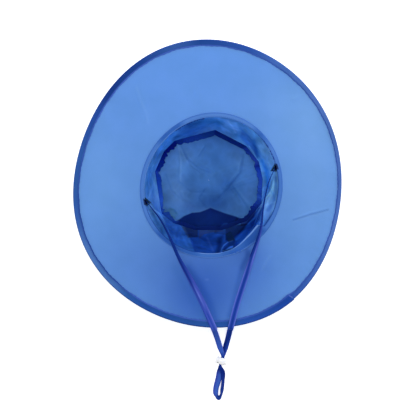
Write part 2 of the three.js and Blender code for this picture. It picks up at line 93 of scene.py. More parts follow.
# angle, half size round the hat, height, half size up the wall, depth
DENTS = (
    (256, 17, 0.036, 0.026, 0.006),
    (283, 12, 0.030, 0.024, -0.003),
    (112, 24, 0.016, 0.018, 0.004),
    (40, 20, 0.042, 0.032, 0.005),
    (163, 16, 0.050, 0.034, 0.004),
)
# from, lip and to angle, depth
SLITS = ((192.8, 197.1, 198.6, 0.0058), (16.7, 12.6, 11.2, 0.0058))
# row of the wall, left and right edge of the flap in degrees
FLAP_ROWS = (
    (0.35, 277.8, 290), (1, 279, 290.6), (2, 281, 291), (3, 283.5, 291.4), (4, 285.5, 292), (5, 286.5, 293),
    (6, 287, 293.5), (7, 287, 293.5), (8, 287, 293.5),
)
FLAP_STAND_OFF = 0.00195

# Chin strap: x, y, z, heading and roll in degrees, width
STRAP_ROUTE = (
    (-0.0873, -0.0243, 0.0904, -55, 88, 0.008),
    (-0.0698, -0.047, 0.091, -56, 77, 0.008),
    (-0.0572, -0.0684, 0.101, -60.5, 68, 0.008),
    (-0.0429, -0.1009, 0.0995, -65, 54, 0.008),
    (-0.0272, -0.1296, 0.0998, -63.5, 24, 0.008),
    (-0.011, -0.1616, 0.0998, -64, 2, 0.008),
    (0.0003, -0.1864, 0.1026, -67, 0, 0.008),
    (0.0031, -0.1927, 0.1022, -72, 0, 0.008),
    (0.0041, -0.1954, 0.099, -76, 0, 0.008),
    (0.004, -0.1962, 0.09, -78, 0, 0.008),
    (0.0014, -0.2025, 0.01, -74, 0, 0.008),
    (0.0068, -0.217, 0.0015, -70, 0, 0.008),
    (0.0126, -0.235, 0.0026, -74, 0, 0.0078),
    (0.01675, -0.24828, 0.00625, -110, 0, 0.0046),
    (0.0128, -0.2606, 0.00625, -110, 0, 0.0036),
    (0.0164, -0.27, 0.0047, -86, -8, 0.0066),
    (0.017, -0.282, 0.004, -96, -56, 0.008),
    (0.0154, -0.2965, 0.0039, -96, -52, 0.008),
    (0.0148, -0.3013, 0.004, -83, -60, 0.0076),
    (0.0131, -0.3055, 0.0031, -155, -55, 0.0059),
    (0.0107, -0.3086, 0.0027, -190, -30, 0.008),
    (0.0079, -0.3055, 0.0029, -237, -40, 0.0069),
    (0.0063, -0.3019, 0.0023, -270, -24, 0.008),
    (0.0068, -0.294, 0.0017, -282, -12, 0.0082),
    (0.0106, -0.28, 0.0017, -284, -8, 0.0092),
    (0.0122, -0.2705, 0.0022, -283, -2, 0.009),
    (0.0128, -0.2606, 0.00455, -290, 0, 0.0036),
    (0.01648, -0.24903, 0.00455, -290, 0, 0.0046),
    (0.0204, -0.236, 0.0014, -285, 0, 0.0078),
    (0.0249, -0.219, 0.0013, -282, 0, 0.008),
    (0.0279, -0.203, 0.011, -281, 0, 0.008),
    (0.0253, -0.1962, 0.092, -283, 0, 0.0074),
    (0.0254, -0.1938, 0.101, -284, 0, 0.0078),
    (0.0272, -0.1864, 0.1015, -285, 0, 0.008),
    (0.034, -0.1615, 0.0978, -286.5, 2, 0.008),
    (0.0522, -0.105, 0.0982, -288, 24, 0.008),
    (0.0651, -0.0636, 0.1013, -283.5, 64, 0.008),
    (0.0698, -0.03, 0.092, -277, 77, 0.008),
    (0.0768, 0.001, 0.0904, -287, 84, 0.008),
    (0.0851, 0.0205, 0.0904, -294, 88, 0.008),
)

# Cord lock, along X in its own frame
LOCK_PLACE = (0.0146, -0.2542, 0.0054)
LOCK_TURN = -20
BARREL = {"from": -0.0088, "to": 0.005, "radius": 0.0052, "bore": 0.00375, "bore_from": -0.0074}
BUTTON = {"from": -0.00395, "to": 0.0084, "radius": 0.0034}
CORD_HOLE = {"from": -0.00265, "to": 0.00265, "height": 0.0039}
BUTTON_SLOT_TO = 0.00565

# Finer sizes of what is seen
CLOTH = 0.0006
BRIM_COLUMNS = 600
BRIM_ROWS = 76
WALL_COLUMNS = 480
WALL_STEPS = 96
TOP_COLUMNS = 360
TOP_RINGS = 90
STRIP_COLUMNS = 720
BINDING_COLUMNS = 720


def make_camera():
    data = bpy.data.cameras.new("camera")
    data.sensor_width = SENSOR_MM
    data.lens = LENS_MM
    camera = bpy.data.objects.new("camera", data)
    camera.location = CAMERA_PLACE
    bpy.context.scene.collection.objects.link(camera)
    bpy.context.scene.camera = camera


def photo_place(points):
    """Where points of the part's frame are seen in the photo, in its pixels."""
    slope = PIXELS_PER_SLOPE / (CAMERA_PLACE[2] - points[..., 2])
    across = PHOTO_SIDE / 2 + (points[..., 0] - CAMERA_PLACE[0]) * slope
    down = PHOTO_SIDE / 2 - (points[..., 1] - CAMERA_PLACE[1]) * slope
    return np.stack([across, down], -1)


# Meshes from arrays of points


def new_piece(name, points, faces, uvs=None, tint=None):
    """A smooth mesh: uvs in metres of cloth for each corner of each face, tint a colour for each point."""
    mesh = bpy.data.meshes.new(name)
    faces = np.asarray(faces)
    count, corners = faces.shape
    mesh.vertices.add(len(points))
    mesh.vertices.foreach_set("co", np.asarray(points, np.float32).ravel())
    mesh.loops.add(count * corners)
    mesh.loops.foreach_set("vertex_index", faces.astype(np.int32).ravel())
    mesh.polygons.add(count)
    mesh.polygons.foreach_set("loop_start", np.arange(0, count * corners, corners, dtype=np.int32))
    mesh.polygons.foreach_set("use_smooth", np.ones(count, bool))
    if uvs is not None:
        layer = mesh.uv_layers.new(name="cloth")
        layer.data.foreach_set("uv", np.asarray(uvs, np.float32).ravel())
    if tint is not None:
        colours = np.ones((len(points), 4), np.float32)
        colours[:, :3] = tint
        attribute = mesh.color_attributes.new("tint", "FLOAT_COLOR", "POINT")
        attribute.data.foreach_set("color", colours.ravel())
    mesh.update(calc_edges=True)
    mesh.validate()
    piece = bpy.data.objects.new(name, mesh)
    bpy.context.scene.collection.objects.link(piece)
    return piece


def unit(vectors):
    return vectors / np.linalg.norm(vectors, axis=-1, keepdims=True)


def running_total(lengths):
    return np.concatenate([[0], np.cumsum(lengths)])


def grid_normals(rows, closed):
    if closed:
        along = np.roll(rows, -1, 1) - np.roll(rows, 1, 1)
    else:
        along = np.gradient(rows, axis=1)
    down = np.gradient(rows, axis=0)
    return unit(np.cross(along, down))


def cloth_shell(name, rows, thickness, closed, tint, seen_side=1):
    """A sheet of cloth round a grid of points rows[i, j], with rims at its edges; only one side takes the tint."""
    count, columns = rows.shape[:2]
    normals = grid_normals(rows, closed)
    points = np.concatenate([(rows + side * normals * thickness / 2).reshape(-1, 3) for side in (1, -1)])
    spans = columns if closed else columns - 1
    j = np.arange(spans)
    k = (j + 1) % columns
    i = np.arange(count - 1)[:, None]
    low, high = i * columns, (i + 1) * columns
    quad = np.stack([low + j, low + k, high + k, high + j], -1).reshape(-1, 4)
    back = count * columns
    last = (count - 1) * columns
    faces = [quad, back + quad[:, ::-1]]
    faces.append(np.stack([k, j, back + j, back + k], -1))
    faces.append(np.stack([last + j, last + k, back + last + k, back + last + j], -1))
    if not closed:
        a = np.arange(count - 1) * columns
        faces.append(np.stack([a, a + columns, back + a + columns, back + a], -1))
        a = a + columns - 1
        faces.append(np.stack([a + columns, a, back + a, back + a + columns], -1))
    faces = np.concatenate(faces)
    run = np.linalg.norm(np.diff(rows, axis=1, append=rows[:, :1]), axis=-1).mean(0)
    fall = np.linalg.norm(np.diff(rows, axis=0), axis=-1).mean(1)
    across, downward = running_total(run), running_total(fall)
    column = faces % back % columns
    wraps = (column.max(1) == columns - 1) & (column.min(1) == 0) & closed
    column = np.where(wraps[:, None] & (column == 0), columns, column)
    uvs = np.stack([across[column], downward[faces % back // columns]], -1)
    sides = [tint.reshape(-1, 3), np.ones((back, 3))]
    return new_piece(name, points, faces, uvs, np.concatenate(sides[::seen_side]))


def swept(name, rings, closed, tint):
    """A bar of sections rings[i, j]: its last section joins the first, or both are capped by fans of quads."""
    count, size = rings.shape[:2]
    spans = count if closed else count - 1
    i = np.arange(spans)[:, None]
    n = (i + 1) % count
    j = np.arange(size)
    k = (j + 1) % size
    faces = np.stack([i * size + j, n * size + j, n * size + k, i * size + k], -1).reshape(-1, 4)
    run = np.linalg.norm(np.diff(rings, axis=0, append=rings[:1]), axis=-1).mean(1)
    turns = np.linalg.norm(np.diff(rings, axis=1, append=rings[:, :1]), axis=-1).mean(0)
    along, girth = running_total(run), running_total(turns)
    low, high = np.broadcast_to(i, (spans, size)), np.broadcast_to(i + 1, (spans, size))
    left, right = np.broadcast_to(j, (spans, size)), np.broadcast_to(j + 1, (spans, size))
    corners = [(low, left), (high, left), (high, right), (low, right)]
    uvs = np.stack([np.stack([along[a], girth[b]], -1) for a, b in corners], 2).reshape(-1, 4, 2)
    if not closed:
        end = (count - 1) * size
        half = size // 2
        caps = [(a, a + 1, size - a - 2, size - a - 1) for a in range(half - 1)]
        ends = [list(cap) for cap in caps] + [[end + x for x in reversed(cap)] for cap in caps]
        faces = np.concatenate([faces, ends])
        uvs = np.concatenate([uvs, np.zeros((len(ends), 4, 2))])
    return new_piece(name, rings.reshape(-1, 3), faces, uvs, tint.reshape(-1, 3))


STITCH_SIDES = 6
STITCH_STATIONS = ((-0.5, 0.25), (-0.42, 0.8), (0, 1.15), (0.42, 0.8), (0.5, 0.25))  # along, thickness
STITCH_RISE = 0.35  # of its middle over the cloth, as a share of the thread
STITCH_DIP = 1.1  # of its ends, the same way


def stitches(name, middles, along, up, stitch):
    """Rows of thread stitches: each is a small swollen bar that dips into the cloth at both ends."""
    length, thread = stitch["length"], stitch["thread"]
    turn = np.arange(STITCH_SIDES) * 2 * np.pi / STITCH_SIDES
    side = np.cross(up, along)
    rings = []
    for place, swell in STITCH_STATIONS:
        centre = middles + along * length * place + up * thread * (STITCH_RISE - STITCH_DIP * abs(place))
        ring = [centre + (side * np.cos(t) + up * np.sin(t)) * thread / 2 * swell for t in turn]
        rings.append(np.stack(ring, 1))
    points = np.stack(rings, 1)
    stations = len(STITCH_STATIONS)
    a = np.arange(stations - 1)[:, None] * STITCH_SIDES
    j = np.arange(STITCH_SIDES)
    k = (j + 1) % STITCH_SIDES
    quad = np.stack([a + j, a + k, a + STITCH_SIDES + k, a + STITCH_SIDES + j], -1).reshape(-1, 4)
    top = (stations - 1) * STITCH_SIDES
    caps = [[0, 5, 4, 3], [3, 2, 1, 0], [top, top + 1, top + 2, top + 3], [top + 3, top + 4, top + 5, top]]
    one = np.concatenate([quad, caps])
    faces = (np.arange(len(middles))[:, None, None] * stations * STITCH_SIDES + one).reshape(-1, 4)
    tint = np.repeat(np.broadcast_to(stitch["tint"], (len(middles), 3)), stations * STITCH_SIDES, 0)
    return new_piece(name, points.reshape(-1, 3), faces, None, tint)


# Ridges on the facets of crumpled cloth: size as a share of the facets' size, seed, weight
RIDGE_LAYERS = ((0.6, 3.7, 0.6), (0.25, 8.1, 0.3))
RIDGE_MIDDLE = 0.6  # about what crumple_at gives on average


def noise_at(points, scale, seed):
    """Smooth noise from about -1 to 1, with bumps of that size."""
    flat = points.reshape(-1, 3) / scale + seed
    return np.array([noise.noise(Vector(p)) for p in flat]).reshape(points.shape[:-1])


def crumple_at(points, scale, seed):
    """Sharp ridges between flat facets, up to 1, as in thin crumpled cloth."""
    return 1 - np.abs(noise_at(points, scale, seed)) * 2


def painted_facet_light(points, scale, strength, seed):
    """Painted light and shade: how much lighter and darker the facets and ridges of crumpled cloth look as they catch
    light.
    """
    light = noise_at(points, scale, seed)
    for share, more, weight in RIDGE_LAYERS:
        light = light + (crumple_at(points, scale * share, seed + more) - RIDGE_MIDDLE) * weight
    return 1 + strength * light[..., None]


def ripple_round(turn, waves, wander, slow_waves):
    """Small waves round the hat whose spacing wanders."""
    return np.sin(turn * waves + wander * np.sin(turn * slow_waves))


# Creases, and tinted patches of painted light and shade, placed by pixels of the photo


CREASE_END = 0.02  # share of a crease's length from which it rises
CREASE_POWER = 0.6


def away_from_line(seen, line):
    """How far seen points are from a broken line, in pixels, and the nearest place's share of the way along it."""
    line = np.array(line, float)
    lengths = np.linalg.norm(np.diff(line, axis=0), axis=1)
    starts = running_total(lengths)
    best = np.full(seen.shape[:-1], np.inf)
    share = np.zeros(seen.shape[:-1])
    for index, (a, b) in enumerate(zip(line[:-1], line[1:])):
        t = np.clip(((seen - a) @ (b - a)) / (lengths[index] ** 2), 0, 1)
        away = np.linalg.norm(seen - a - t[..., None] * (b - a), axis=-1)
        closer = away < best
        best = np.where(closer, away, best)
        share = np.where(closer, (starts[index] + t * lengths[index]) / starts[-1], share)
    return best, share


def crease_relief(points, creases):
    """Height that creases add: each has a broken line in pixels, a half width in pixels and a height in metres."""
    seen = photo_place(points)
    height = np.zeros(points.shape[:-1])
    for line, width, rise in creases:
        away, share = away_from_line(seen, line)
        fade = np.sin(np.pi * np.clip(share, CREASE_END, 1 - CREASE_END)) ** CREASE_POWER
        height += rise * np.exp(-((away / width) ** 2)) * fade
    return height


def inside_share(seen, outline, soft):
    """1 inside an outline in pixels, 0 outside, with a soft edge of that many pixels."""
    outline = np.array(outline, float)
    ends = np.roll(outline, -1, 0)
    inside = np.zeros(seen.shape[:-1], bool)
    for (ax, ay), (bx, by) in zip(outline, ends):
        if ay == by:
            continue
        crosses = (seen[..., 1] > min(ay, by)) & (seen[..., 1] <= max(ay, by))
        inside ^= crosses & (seen[..., 0] < ax + (seen[..., 1] - ay) * (bx - ax) / (by - ay))
    away, _ = away_from_line(seen, [*outline, outline[0]])
    signed = np.where(inside, away, -away)
    share = np.clip(signed / soft + 0.5, 0, 1)
    return share * share * (3 - 2 * share)


def tinted(points, patches=(), spots=(), lines=()):
    """Tint of each point: white, times the colours of the patches, soft spots and lines of painted light and shade
    that it is in.
    """
    seen = photo_place(points)
    tint = np.ones(points.shape)
    for outline, soft, colour in patches:
        tint *= 1 + inside_share(seen, outline, soft)[..., None] * (np.array(colour) - 1)
    for middle, size, colour in spots:
        share = np.exp(-(((seen - middle) / size) ** 2).sum(-1))
        tint *= 1 + share[..., None] * (np.array(colour) - 1)
    for line, width, colour in lines:
        away, _ = away_from_line(seen, line)
        tint *= 1 + np.exp(-((away / width) ** 2))[..., None] * (np.array(colour) - 1)
    return tint


# Surfaces that the part's source has too


UP = (0.0, 0.0, 1.0)


def wave(angle, cosines, sines=()):
    """A smooth value round the hat: a sum of cosines and sines of 0, 1, 2... waves."""
    turn = np.radians(angle)
    total = sum(c * np.cos(n * turn) for n, c in enumerate(cosines))
    return total + sum(s * np.sin(n * turn) for n, s in enumerate(sines))


def outwards_at(angle):
    """Level unit vectors away from the Z axis."""
    turn = np.radians(angle)
    return np.stack([np.cos(turn), np.sin(turn), np.zeros_like(turn)], -1)


def round_at(angle):
    """Level unit vectors along a circle round the Z axis."""
    turn = np.radians(angle)
    return np.stack([-np.sin(turn), np.cos(turn), np.zeros_like(turn)], -1)


def opening_radius(angle):
    return wave(angle, OPENING_COS, OPENING_SIN)


def brim_inner_radius(angle):
    return opening_radius(angle) + CAD_CLOTH / 2 + GAP


def edge_radius(angle):
    return wave(angle, EDGE_RADIUS_COS, EDGE_RADIUS_SIN)


def brim_point(angle, share):
    """Middle of the brim's cloth; share is 0 at its inner edge and 1 at the binding's outer edge."""
    angle, share = np.broadcast_arrays(angle, share)
    inner = brim_inner_radius(angle)
    radius = inner + share * (edge_radius(angle) - inner)
    droop = wave(angle, EDGE_LIFT_COS) * np.sign(share) * np.abs(share) ** DROOP_POWER
    turn = np.radians(angle)
    return np.stack([radius * np.cos(turn), radius * np.sin(turn), CROWN_DEPTH - CAD_CLOTH / 2 + droop], -1)


def seam_radius(angle):
    """On the straight line between the two corners of the seam beside that angle, seen from the seam's centre."""
    corners = np.array(SEAM_CORNERS)
    turn = np.mod(angle, 360)
    after = np.searchsorted(corners[:, 0], turn, side="right") % len(corners)
    a, b = corners[after - 1], corners[after]
    from_a = np.radians(np.mod(turn - a[..., 0], 360))
    to_b = np.radians(np.mod(b[..., 0] - turn, 360))
    area = a[..., 1] * b[..., 1] * np.sin(from_a + to_b)
    return area / (a[..., 1] * np.sin(from_a) + b[..., 1] * np.sin(to_b))


def seam_point(angle, outwards, z):
    radius = seam_radius(angle) + outwards
    turn = np.radians(angle)
    x = SEAM_CENTRE[0] + radius * np.cos(turn)
    y = SEAM_CENTRE[1] + radius * np.sin(turn)
    return np.stack(np.broadcast_arrays(x, y, z), -1)


def pocket_share(pocket, angle):
    start, peak, end, _ = pocket
    after = np.mod(angle - start, 360)
    share = np.where(after < peak - start, after / (peak - start), (end - start - after) / (end - peak))
    return np.sin(np.clip(share, 0, 1) * np.pi / 2) ** POCKET_POWER


def slit_depth(angle):
    total = np.zeros(np.shape(angle))
    for start, lip, end, depth in SLITS:
        way = np.sign(end - start)
        after = way * (np.mod(angle - start + 180, 360) - 180)
        rise, whole = abs(lip - start), abs(end - start)
        total += depth * np.clip(np.minimum(after / rise, (whole - after) / (whole - rise)), 0, 1)
    return total


def dent_depth(angle, height):
    total = np.zeros(np.broadcast_shapes(np.shape(angle), np.shape(height)))
    for place, spread, middle, reach, depth in DENTS:
        across = np.clip(1 - np.abs(np.mod(angle - place + 180, 360) - 180) / spread, 0, 1)
        upward = np.clip(1 - np.abs(height - middle) / reach, 0, 1)
        smooth = across * across * (3 - 2 * across) * upward * upward * (3 - 2 * upward)
        total += depth * smooth
    return total


def wall_row(row):
    """Values of the wall's table at fractional rows, on a smooth curve through its rows."""
    table = np.array(WALL_ROWS)
    low = np.clip(np.floor(row).astype(int), 0, len(table) - 2)
    t = (row - low)[..., None]
    slopes = np.gradient(table, axis=0)
    a, b = table[low], table[low + 1]
    ma, mb = slopes[low], slopes[low + 1]
    smooth = (2 * t**3 - 3 * t**2 + 1) * a + (t**3 - 2 * t**2 + t) * ma
    smooth = smooth + (3 * t**2 - 2 * t**3) * b + (t**3 - t**2) * mb
    return np.moveaxis(smooth, -1, 0)


def wall_point(angle, row):
    angle, row = np.broadcast_arrays(angle, row)
    height, to_seam, bulge, pocket_part, slit_part, rise = wall_row(row)
    turn = np.radians(angle)
    rim = np.stack([np.cos(turn), np.sin(turn)], -1)
    seam = seam_point(angle, GAP + CAD_CLOTH / 2, 0)[..., :2]
    plan = rim * (opening_radius(angle) * (1 - to_seam))[..., None] + seam * to_seam[..., None]
    pocket = sum(p[3] * pocket_share(p, angle) for p in POCKETS)
    lifted = sum(pocket_share(p, angle) for p in POCKETS)
    inwards = pocket * pocket_part + slit_depth(angle) * slit_part + dent_depth(angle, height)
    plan = plan + rim * (bulge - inwards)[..., None]
    return np.concatenate([plan, (height + lifted * rise)[..., None]], -1)


def strap_line(steps):
    """The tape's middle line and its frame at steps places between each two route points: a centripetal spline."""
    route = np.array(STRAP_ROUTE)
    points = route[:, :3]
    padded = np.concatenate([[2 * points[0] - points[1]], points, [2 * points[-1] - points[-2]]])
    centres, forwards, facts = [], [], []
    for i in range(len(points) - 1):
        p0, p1, p2, p3 = padded[i : i + 4]
        d0, d1, d2 = (np.sqrt(np.linalg.norm(b - a)) for a, b in ((p0, p1), (p1, p2), (p2, p3)))
        m1 = d1 * ((p1 - p0) / d0 - (p2 - p0) / (d0 + d1) + (p2 - p1) / d1)
        m2 = d1 * ((p2 - p1) / d1 - (p3 - p1) / (d1 + d2) + (p3 - p2) / d2)
        last = i == len(points) - 2
        t = np.linspace(0, 1, steps + 1)[: None if last else -1, None]
        c2, c3 = 3 * (p2 - p1) - 2 * m1 - m2, 2 * (p1 - p2) + m1 + m2
        centres.append(p1 + m1 * t + c2 * t**2 + c3 * t**3)
        forwards.append(m1 + 2 * c2 * t + 3 * c3 * t**2)
        facts.append(route[i, 3:] + (route[i + 1, 3:] - route[i, 3:]) * t)
    return np.concatenate(centres), unit(np.concatenate(forwards)), np.concatenate(facts)


# Materials


MOTTLE = 0.03  # size of the faint blots
MOTTLE_RANGE = (0.35, 0.65)
STRIPE_EDGE = 0.8  # how soft the edges of the threads are
THREAD_SHADE = 0.86  # between the threads
THREAD_SHARE = 0.6  # how much of that shows
THREAD_RELIEF = 0.3  # as a share of the thread spacing
CRINKLE = {"scale": 120, "detail": 4, "strength": 0.12, "height": 0.0008}
CLOTH_SHADER = {
    "Roughness": 0.8, "Specular IOR Level": 0.08, "Sheen Roughness": 0.4, "Sheen Tint": (0.3, 0.55, 1, 1),
}
SCUFFS = {"scale": 900, "detail": 4, "strength": 0.08, "height": 0.0002, "shade": 0.96, "roughness": 0.07}
PLASTIC_COAT = 0.15


def new_material(name):
    material = bpy.data.materials.new(name)
    material.use_nodes = True
    material.node_tree.nodes.clear()
    return material, material.node_tree


def add_node(tree, kind, inputs, **settings):
    """A shader node; each input gets a value, or a link from the socket that is given."""
    node = tree.nodes.new(f"ShaderNode{kind}")
    for key, value in settings.items():
        setattr(node, key, value)
    for key, value in inputs.items():
        if isinstance(value, bpy.types.NodeSocket):
            tree.links.new(value, node.inputs[key])
        else:
            node.inputs[key].default_value = value
    return node


def mix_colour(tree, factor, first, second, blend="MIX"):
    first, second = (c if isinstance(c, bpy.types.NodeSocket) else (*c, 1) for c in (first, second))
    return add_node(tree, "Mix", {0: factor, 6: first, 7: second}, data_type="RGBA", blend_type=blend).outputs[2]


def noise_texture(tree, place, scale, detail):
    inputs = {"Scale": scale, "Detail": detail, "Vector": place.outputs["Object"]}
    return add_node(tree, "TexNoise", inputs).outputs["Fac"]


def map_range(tree, value, low, high, ends):
    """Maps a value; ends is From or To, the side that low and high set."""
    return add_node(tree, "MapRange", {f"{ends} Min": low, f"{ends} Max": high, "Value": value}).outputs[0]


def stripe(tree, source, spacing):
    """A wave of that spacing along a coordinate, from 0 to 1."""
    scaled = add_node(tree, "Math", {0: source, 1: 2 * math.pi / spacing}, operation="MULTIPLY")
    sine = add_node(tree, "Math", {0: scaled.outputs[0]}, operation="SINE")
    return map_range(tree, sine.outputs[0], -STRIPE_EDGE, STRIPE_EDGE, "From")


def times_tint(tree, base):
    tint = add_node(tree, "VertexColor", {}, layer_name="tint")
    return mix_colour(tree, 1.0, base, tint.outputs["Color"], "MULTIPLY")


def bump(tree, height, strength, distance, **normal):
    inputs = {"Strength": strength, "Distance": distance, "Height": height, **normal}
    return add_node(tree, "Bump", inputs).outputs["Normal"]


def cloth_material(name, colour, shade, thread, through=0.0, sheen=0.0, weave=0.25):
    """Woven cloth: a plain weave of that thread spacing, faint mottling from colour to shade, and a share of light
    that comes through it. The mesh's tint colours it."""
    material, tree = new_material(name)
    place = add_node(tree, "TexCoord", {})
    split = add_node(tree, "SeparateXYZ", {0: place.outputs["UV"]})
    warp, weft = (stripe(tree, split.outputs[way], thread * 2) for way in "XY")
    woven = add_node(tree, "Math", {0: warp, 1: weft}, operation="MAXIMUM").outputs[0]
    blots = map_range(tree, noise_texture(tree, place, 1 / MOTTLE, 3), *MOTTLE_RANGE, "From")
    base = times_tint(tree, mix_colour(tree, blots, colour, shade))
    grain = mix_colour(tree, woven, [THREAD_SHADE] * 3, (1, 1, 1))
    base = mix_colour(tree, THREAD_SHARE, base, grain, "MULTIPLY")
    threads = bump(tree, woven, weave, thread * THREAD_RELIEF)
    fine = noise_texture(tree, place, CRINKLE["scale"], CRINKLE["detail"])
    normal = bump(tree, fine, CRINKLE["strength"], CRINKLE["height"], Normal=threads)
    inputs = {**CLOTH_SHADER, "Sheen Weight": sheen, "Base Color": base, "Normal": normal}
    surface = add_node(tree, "BsdfPrincipled", inputs).outputs[0]
    if through:
        glow = add_node(tree, "BsdfTranslucent", {"Color": base, "Normal": normal}).outputs[0]
        surface = add_node(tree, "MixShader", {0: through, 1: surface, 2: glow}).outputs[0]
    add_node(tree, "OutputMaterial", {"Surface": surface})
    return material


def plastic_material(name, colour, roughness):
    """Moulded plastic with faint scuffs. The mesh's tint colours it."""
    material, tree = new_material(name)
    mark = noise_texture(tree, add_node(tree, "TexCoord", {}), SCUFFS["scale"], SCUFFS["detail"])
    tone = map_range(tree, mark, roughness - SCUFFS["roughness"], roughness + SCUFFS["roughness"], "To")
    base = times_tint(tree, mix_colour(tree, mark, colour, [c * SCUFFS["shade"] for c in colour]))
    normal = bump(tree, mark, SCUFFS["strength"], SCUFFS["height"])
    inputs = {"Coat Weight": PLASTIC_COAT, "Base Color": base, "Roughness": tone, "Normal": normal}
    add_node(tree, "OutputMaterial", {"Surface": add_node(tree, "BsdfPrincipled", inputs).outputs[0]})
    return material


# Material's name, colour, the shade that it is mottled with and the spacing of its threads
MATERIALS = {
    "brim": cloth_material(
        "brim_cloth", (0.17, 0.39, 0.80), (0.16, 0.375, 0.77), 0.0004, through=0.35, sheen=0.05,
    ),
    "wall": cloth_material("crown_wall_cloth", (0.12, 0.36, 0.70), (0.10, 0.335, 0.66), 0.0004, through=0.5),
    "top": cloth_material("crown_top_cloth", (0.079, 0.253, 0.60), (0.069, 0.237, 0.57), 0.0004, through=0.3),
    "seam": cloth_material("seam_allowance", (0.012, 0.06, 0.44), (0.010, 0.05, 0.40), 0.0005, weave=0.6),
    "binding": cloth_material(
        "binding_tape", (0.024, 0.078, 0.37), (0.02, 0.07, 0.34), 0.0007, sheen=0.04, weave=0.6,
    ),
    "band": cloth_material("rim_tape", (0.068, 0.19, 0.56), (0.062, 0.178, 0.53), 0.0007, weave=0.5),
    "strap": cloth_material("strap_tape", (0.048, 0.085, 0.47), (0.043, 0.078, 0.44), 0.0006, weave=0.7),
    "thread": cloth_material("thread", (0.05, 0.14, 0.50), (0.045, 0.13, 0.46), 0.0002),
    "plastic": plastic_material("white_plastic", (0.94, 0.945, 0.95), 0.34),
}


def dress(piece, finish, slot, *nodes, body="hat"):
    """Gives a piece its material, hides the CAD nodes that it stands for, and lets it ride on a body. The slot is not
    used.
    """
    piece.data.materials.append(MATERIALS[finish])
    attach(piece, body)
    if nodes:
        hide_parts(*nodes)
    return piece


# Chin strap

STRAP_STEPS = 14  # places between two points of its route
# Half of its upper side, with a rib along the edge: across and height, as shares of its half width and half thickness
STRAP_HALF_SECTION = (
    (1.0, 0.0), (0.97, 0.62), (0.86, 1.0), (0.74, 0.9), (0.62, 0.6), (0.45, 0.5), (0.2, 0.5), (0.0, 0.62),
)
STRAP_HALF_THICKNESS = 0.0005
# Painted light and shade on the tape: inky, navy, deep, lavender, pale and sky
STRAP_PAINTED_TONES = {
    "I": (0.03, 0.2, 0.42), "N": (0.10, 0.42, 0.60), "D": (0.35, 0.65, 0.82), "L": (1.0, 1.0, 1.0),
    "P": (2.4, 2.0, 1.4), "S": (1.0, 1.5, 1.15),
}
# Route point, and the painted light and shade across the tape from its right edge to its left, seen along the route
STRAP_PAINTED_SHADES = (
    (0, "NNNNN"), (2.6, "INNNN"), (3.2, "LINDD"), (4, "LIDLL"), (4.6, "LNPLL"), (5.5, "DLDLP"), (9, "DLDLP"),
    (11, "DSSSP"), (12.4, "DSSSP"), (13, "NNNNN"), (15, "IIIII"), (18, "INNNI"), (20, "INNND"), (22, "DSSLD"),
    (24.5, "DSSLD"), (25.5, "IIIII"), (27.5, "DDNII"), (28.4, "DDNII"), (29.2, "DNNDD"), (32, "DNNDD"),
    (32.6, "PDNDP"), (34.7, "PDNDP"), (35.2, "LPNNI"), (36, "LLNNI"), (36.6, "NNNNN"), (39, "NNNNN"),
)
SHADE_PLACES = (-0.93, -0.5, 0.0, 0.5, 0.93)  # across, as shares of the tape's half width


# Painted light and shade along and across the tape
def strap_painted_shade(count, section):
    table = np.array([(place, *np.ravel([STRAP_PAINTED_TONES[c] for c in row])) for place, row in STRAP_PAINTED_SHADES])
    places = np.linspace(0, len(STRAP_ROUTE) - 1, count)
    shades = np.stack([np.interp(places, table[:, 0], column) for column in table.T[1:]], -1)
    shades = shades.reshape(count, len(SHADE_PLACES), 3)
    tint = np.zeros((count, len(section), 3))
    for j, (x, _) in enumerate(section):
        weights = [np.interp(x, SHADE_PLACES, row) for row in np.eye(len(SHADE_PLACES))]
        tint[:, j] = np.tensordot(shades, weights, (1, 0))
    return tint


def chin_strap():
    centres, forwards, facts = strap_line(STRAP_STEPS)
    heading, roll, width = np.radians(facts[:, :1]), np.radians(facts[:, 1:2]), facts[:, 2:]
    left = np.concatenate([-np.sin(heading), np.cos(heading), np.zeros_like(heading)], 1)
    left = unit(left - forwards * (left * forwards).sum(1, keepdims=True))
    up = np.cross(forwards, left)
    across = left * np.cos(roll) + up * np.sin(roll)
    face = np.cross(forwards, across)
    upper = [*STRAP_HALF_SECTION, *((-x, y) for x, y in reversed(STRAP_HALF_SECTION[:-1]))]
    section = upper + [(x, -y) for x, y in reversed(upper[1:-1])]
    rings = np.stack([centres + across * x * width / 2 + face * y * STRAP_HALF_THICKNESS for x, y in section], 1)
    return swept("chin_strap_tape", rings, False, strap_painted_shade(len(centres), section)), centres


# Brim

# Folds of the brim's cloth: line in pixels, half width in pixels, height in metres
BRIM_CREASES = (
    (((293.3, 219.7), (310, 214), (328.3, 209.3)), 1.3, 0.0014),
    (((136.7, 86.7), (141, 101), (146, 112), (148.3, 123.3)), 1.8, 0.0007),
    (((195, 85), (196.7, 100)), 1.8, 0.0005),
    (((290, 100), (301.7, 96)), 2.2, 0.0006),
    (((261.7, 270), (266, 262), (270, 256.7)), 2.4, 0.0007),
    (((106, 105), (110, 110)), 1.6, 0.0005),
    (((262, 96), (275, 125)), 6, 0.0006),
    (((120, 240), (140, 262)), 7, -0.0008),
)
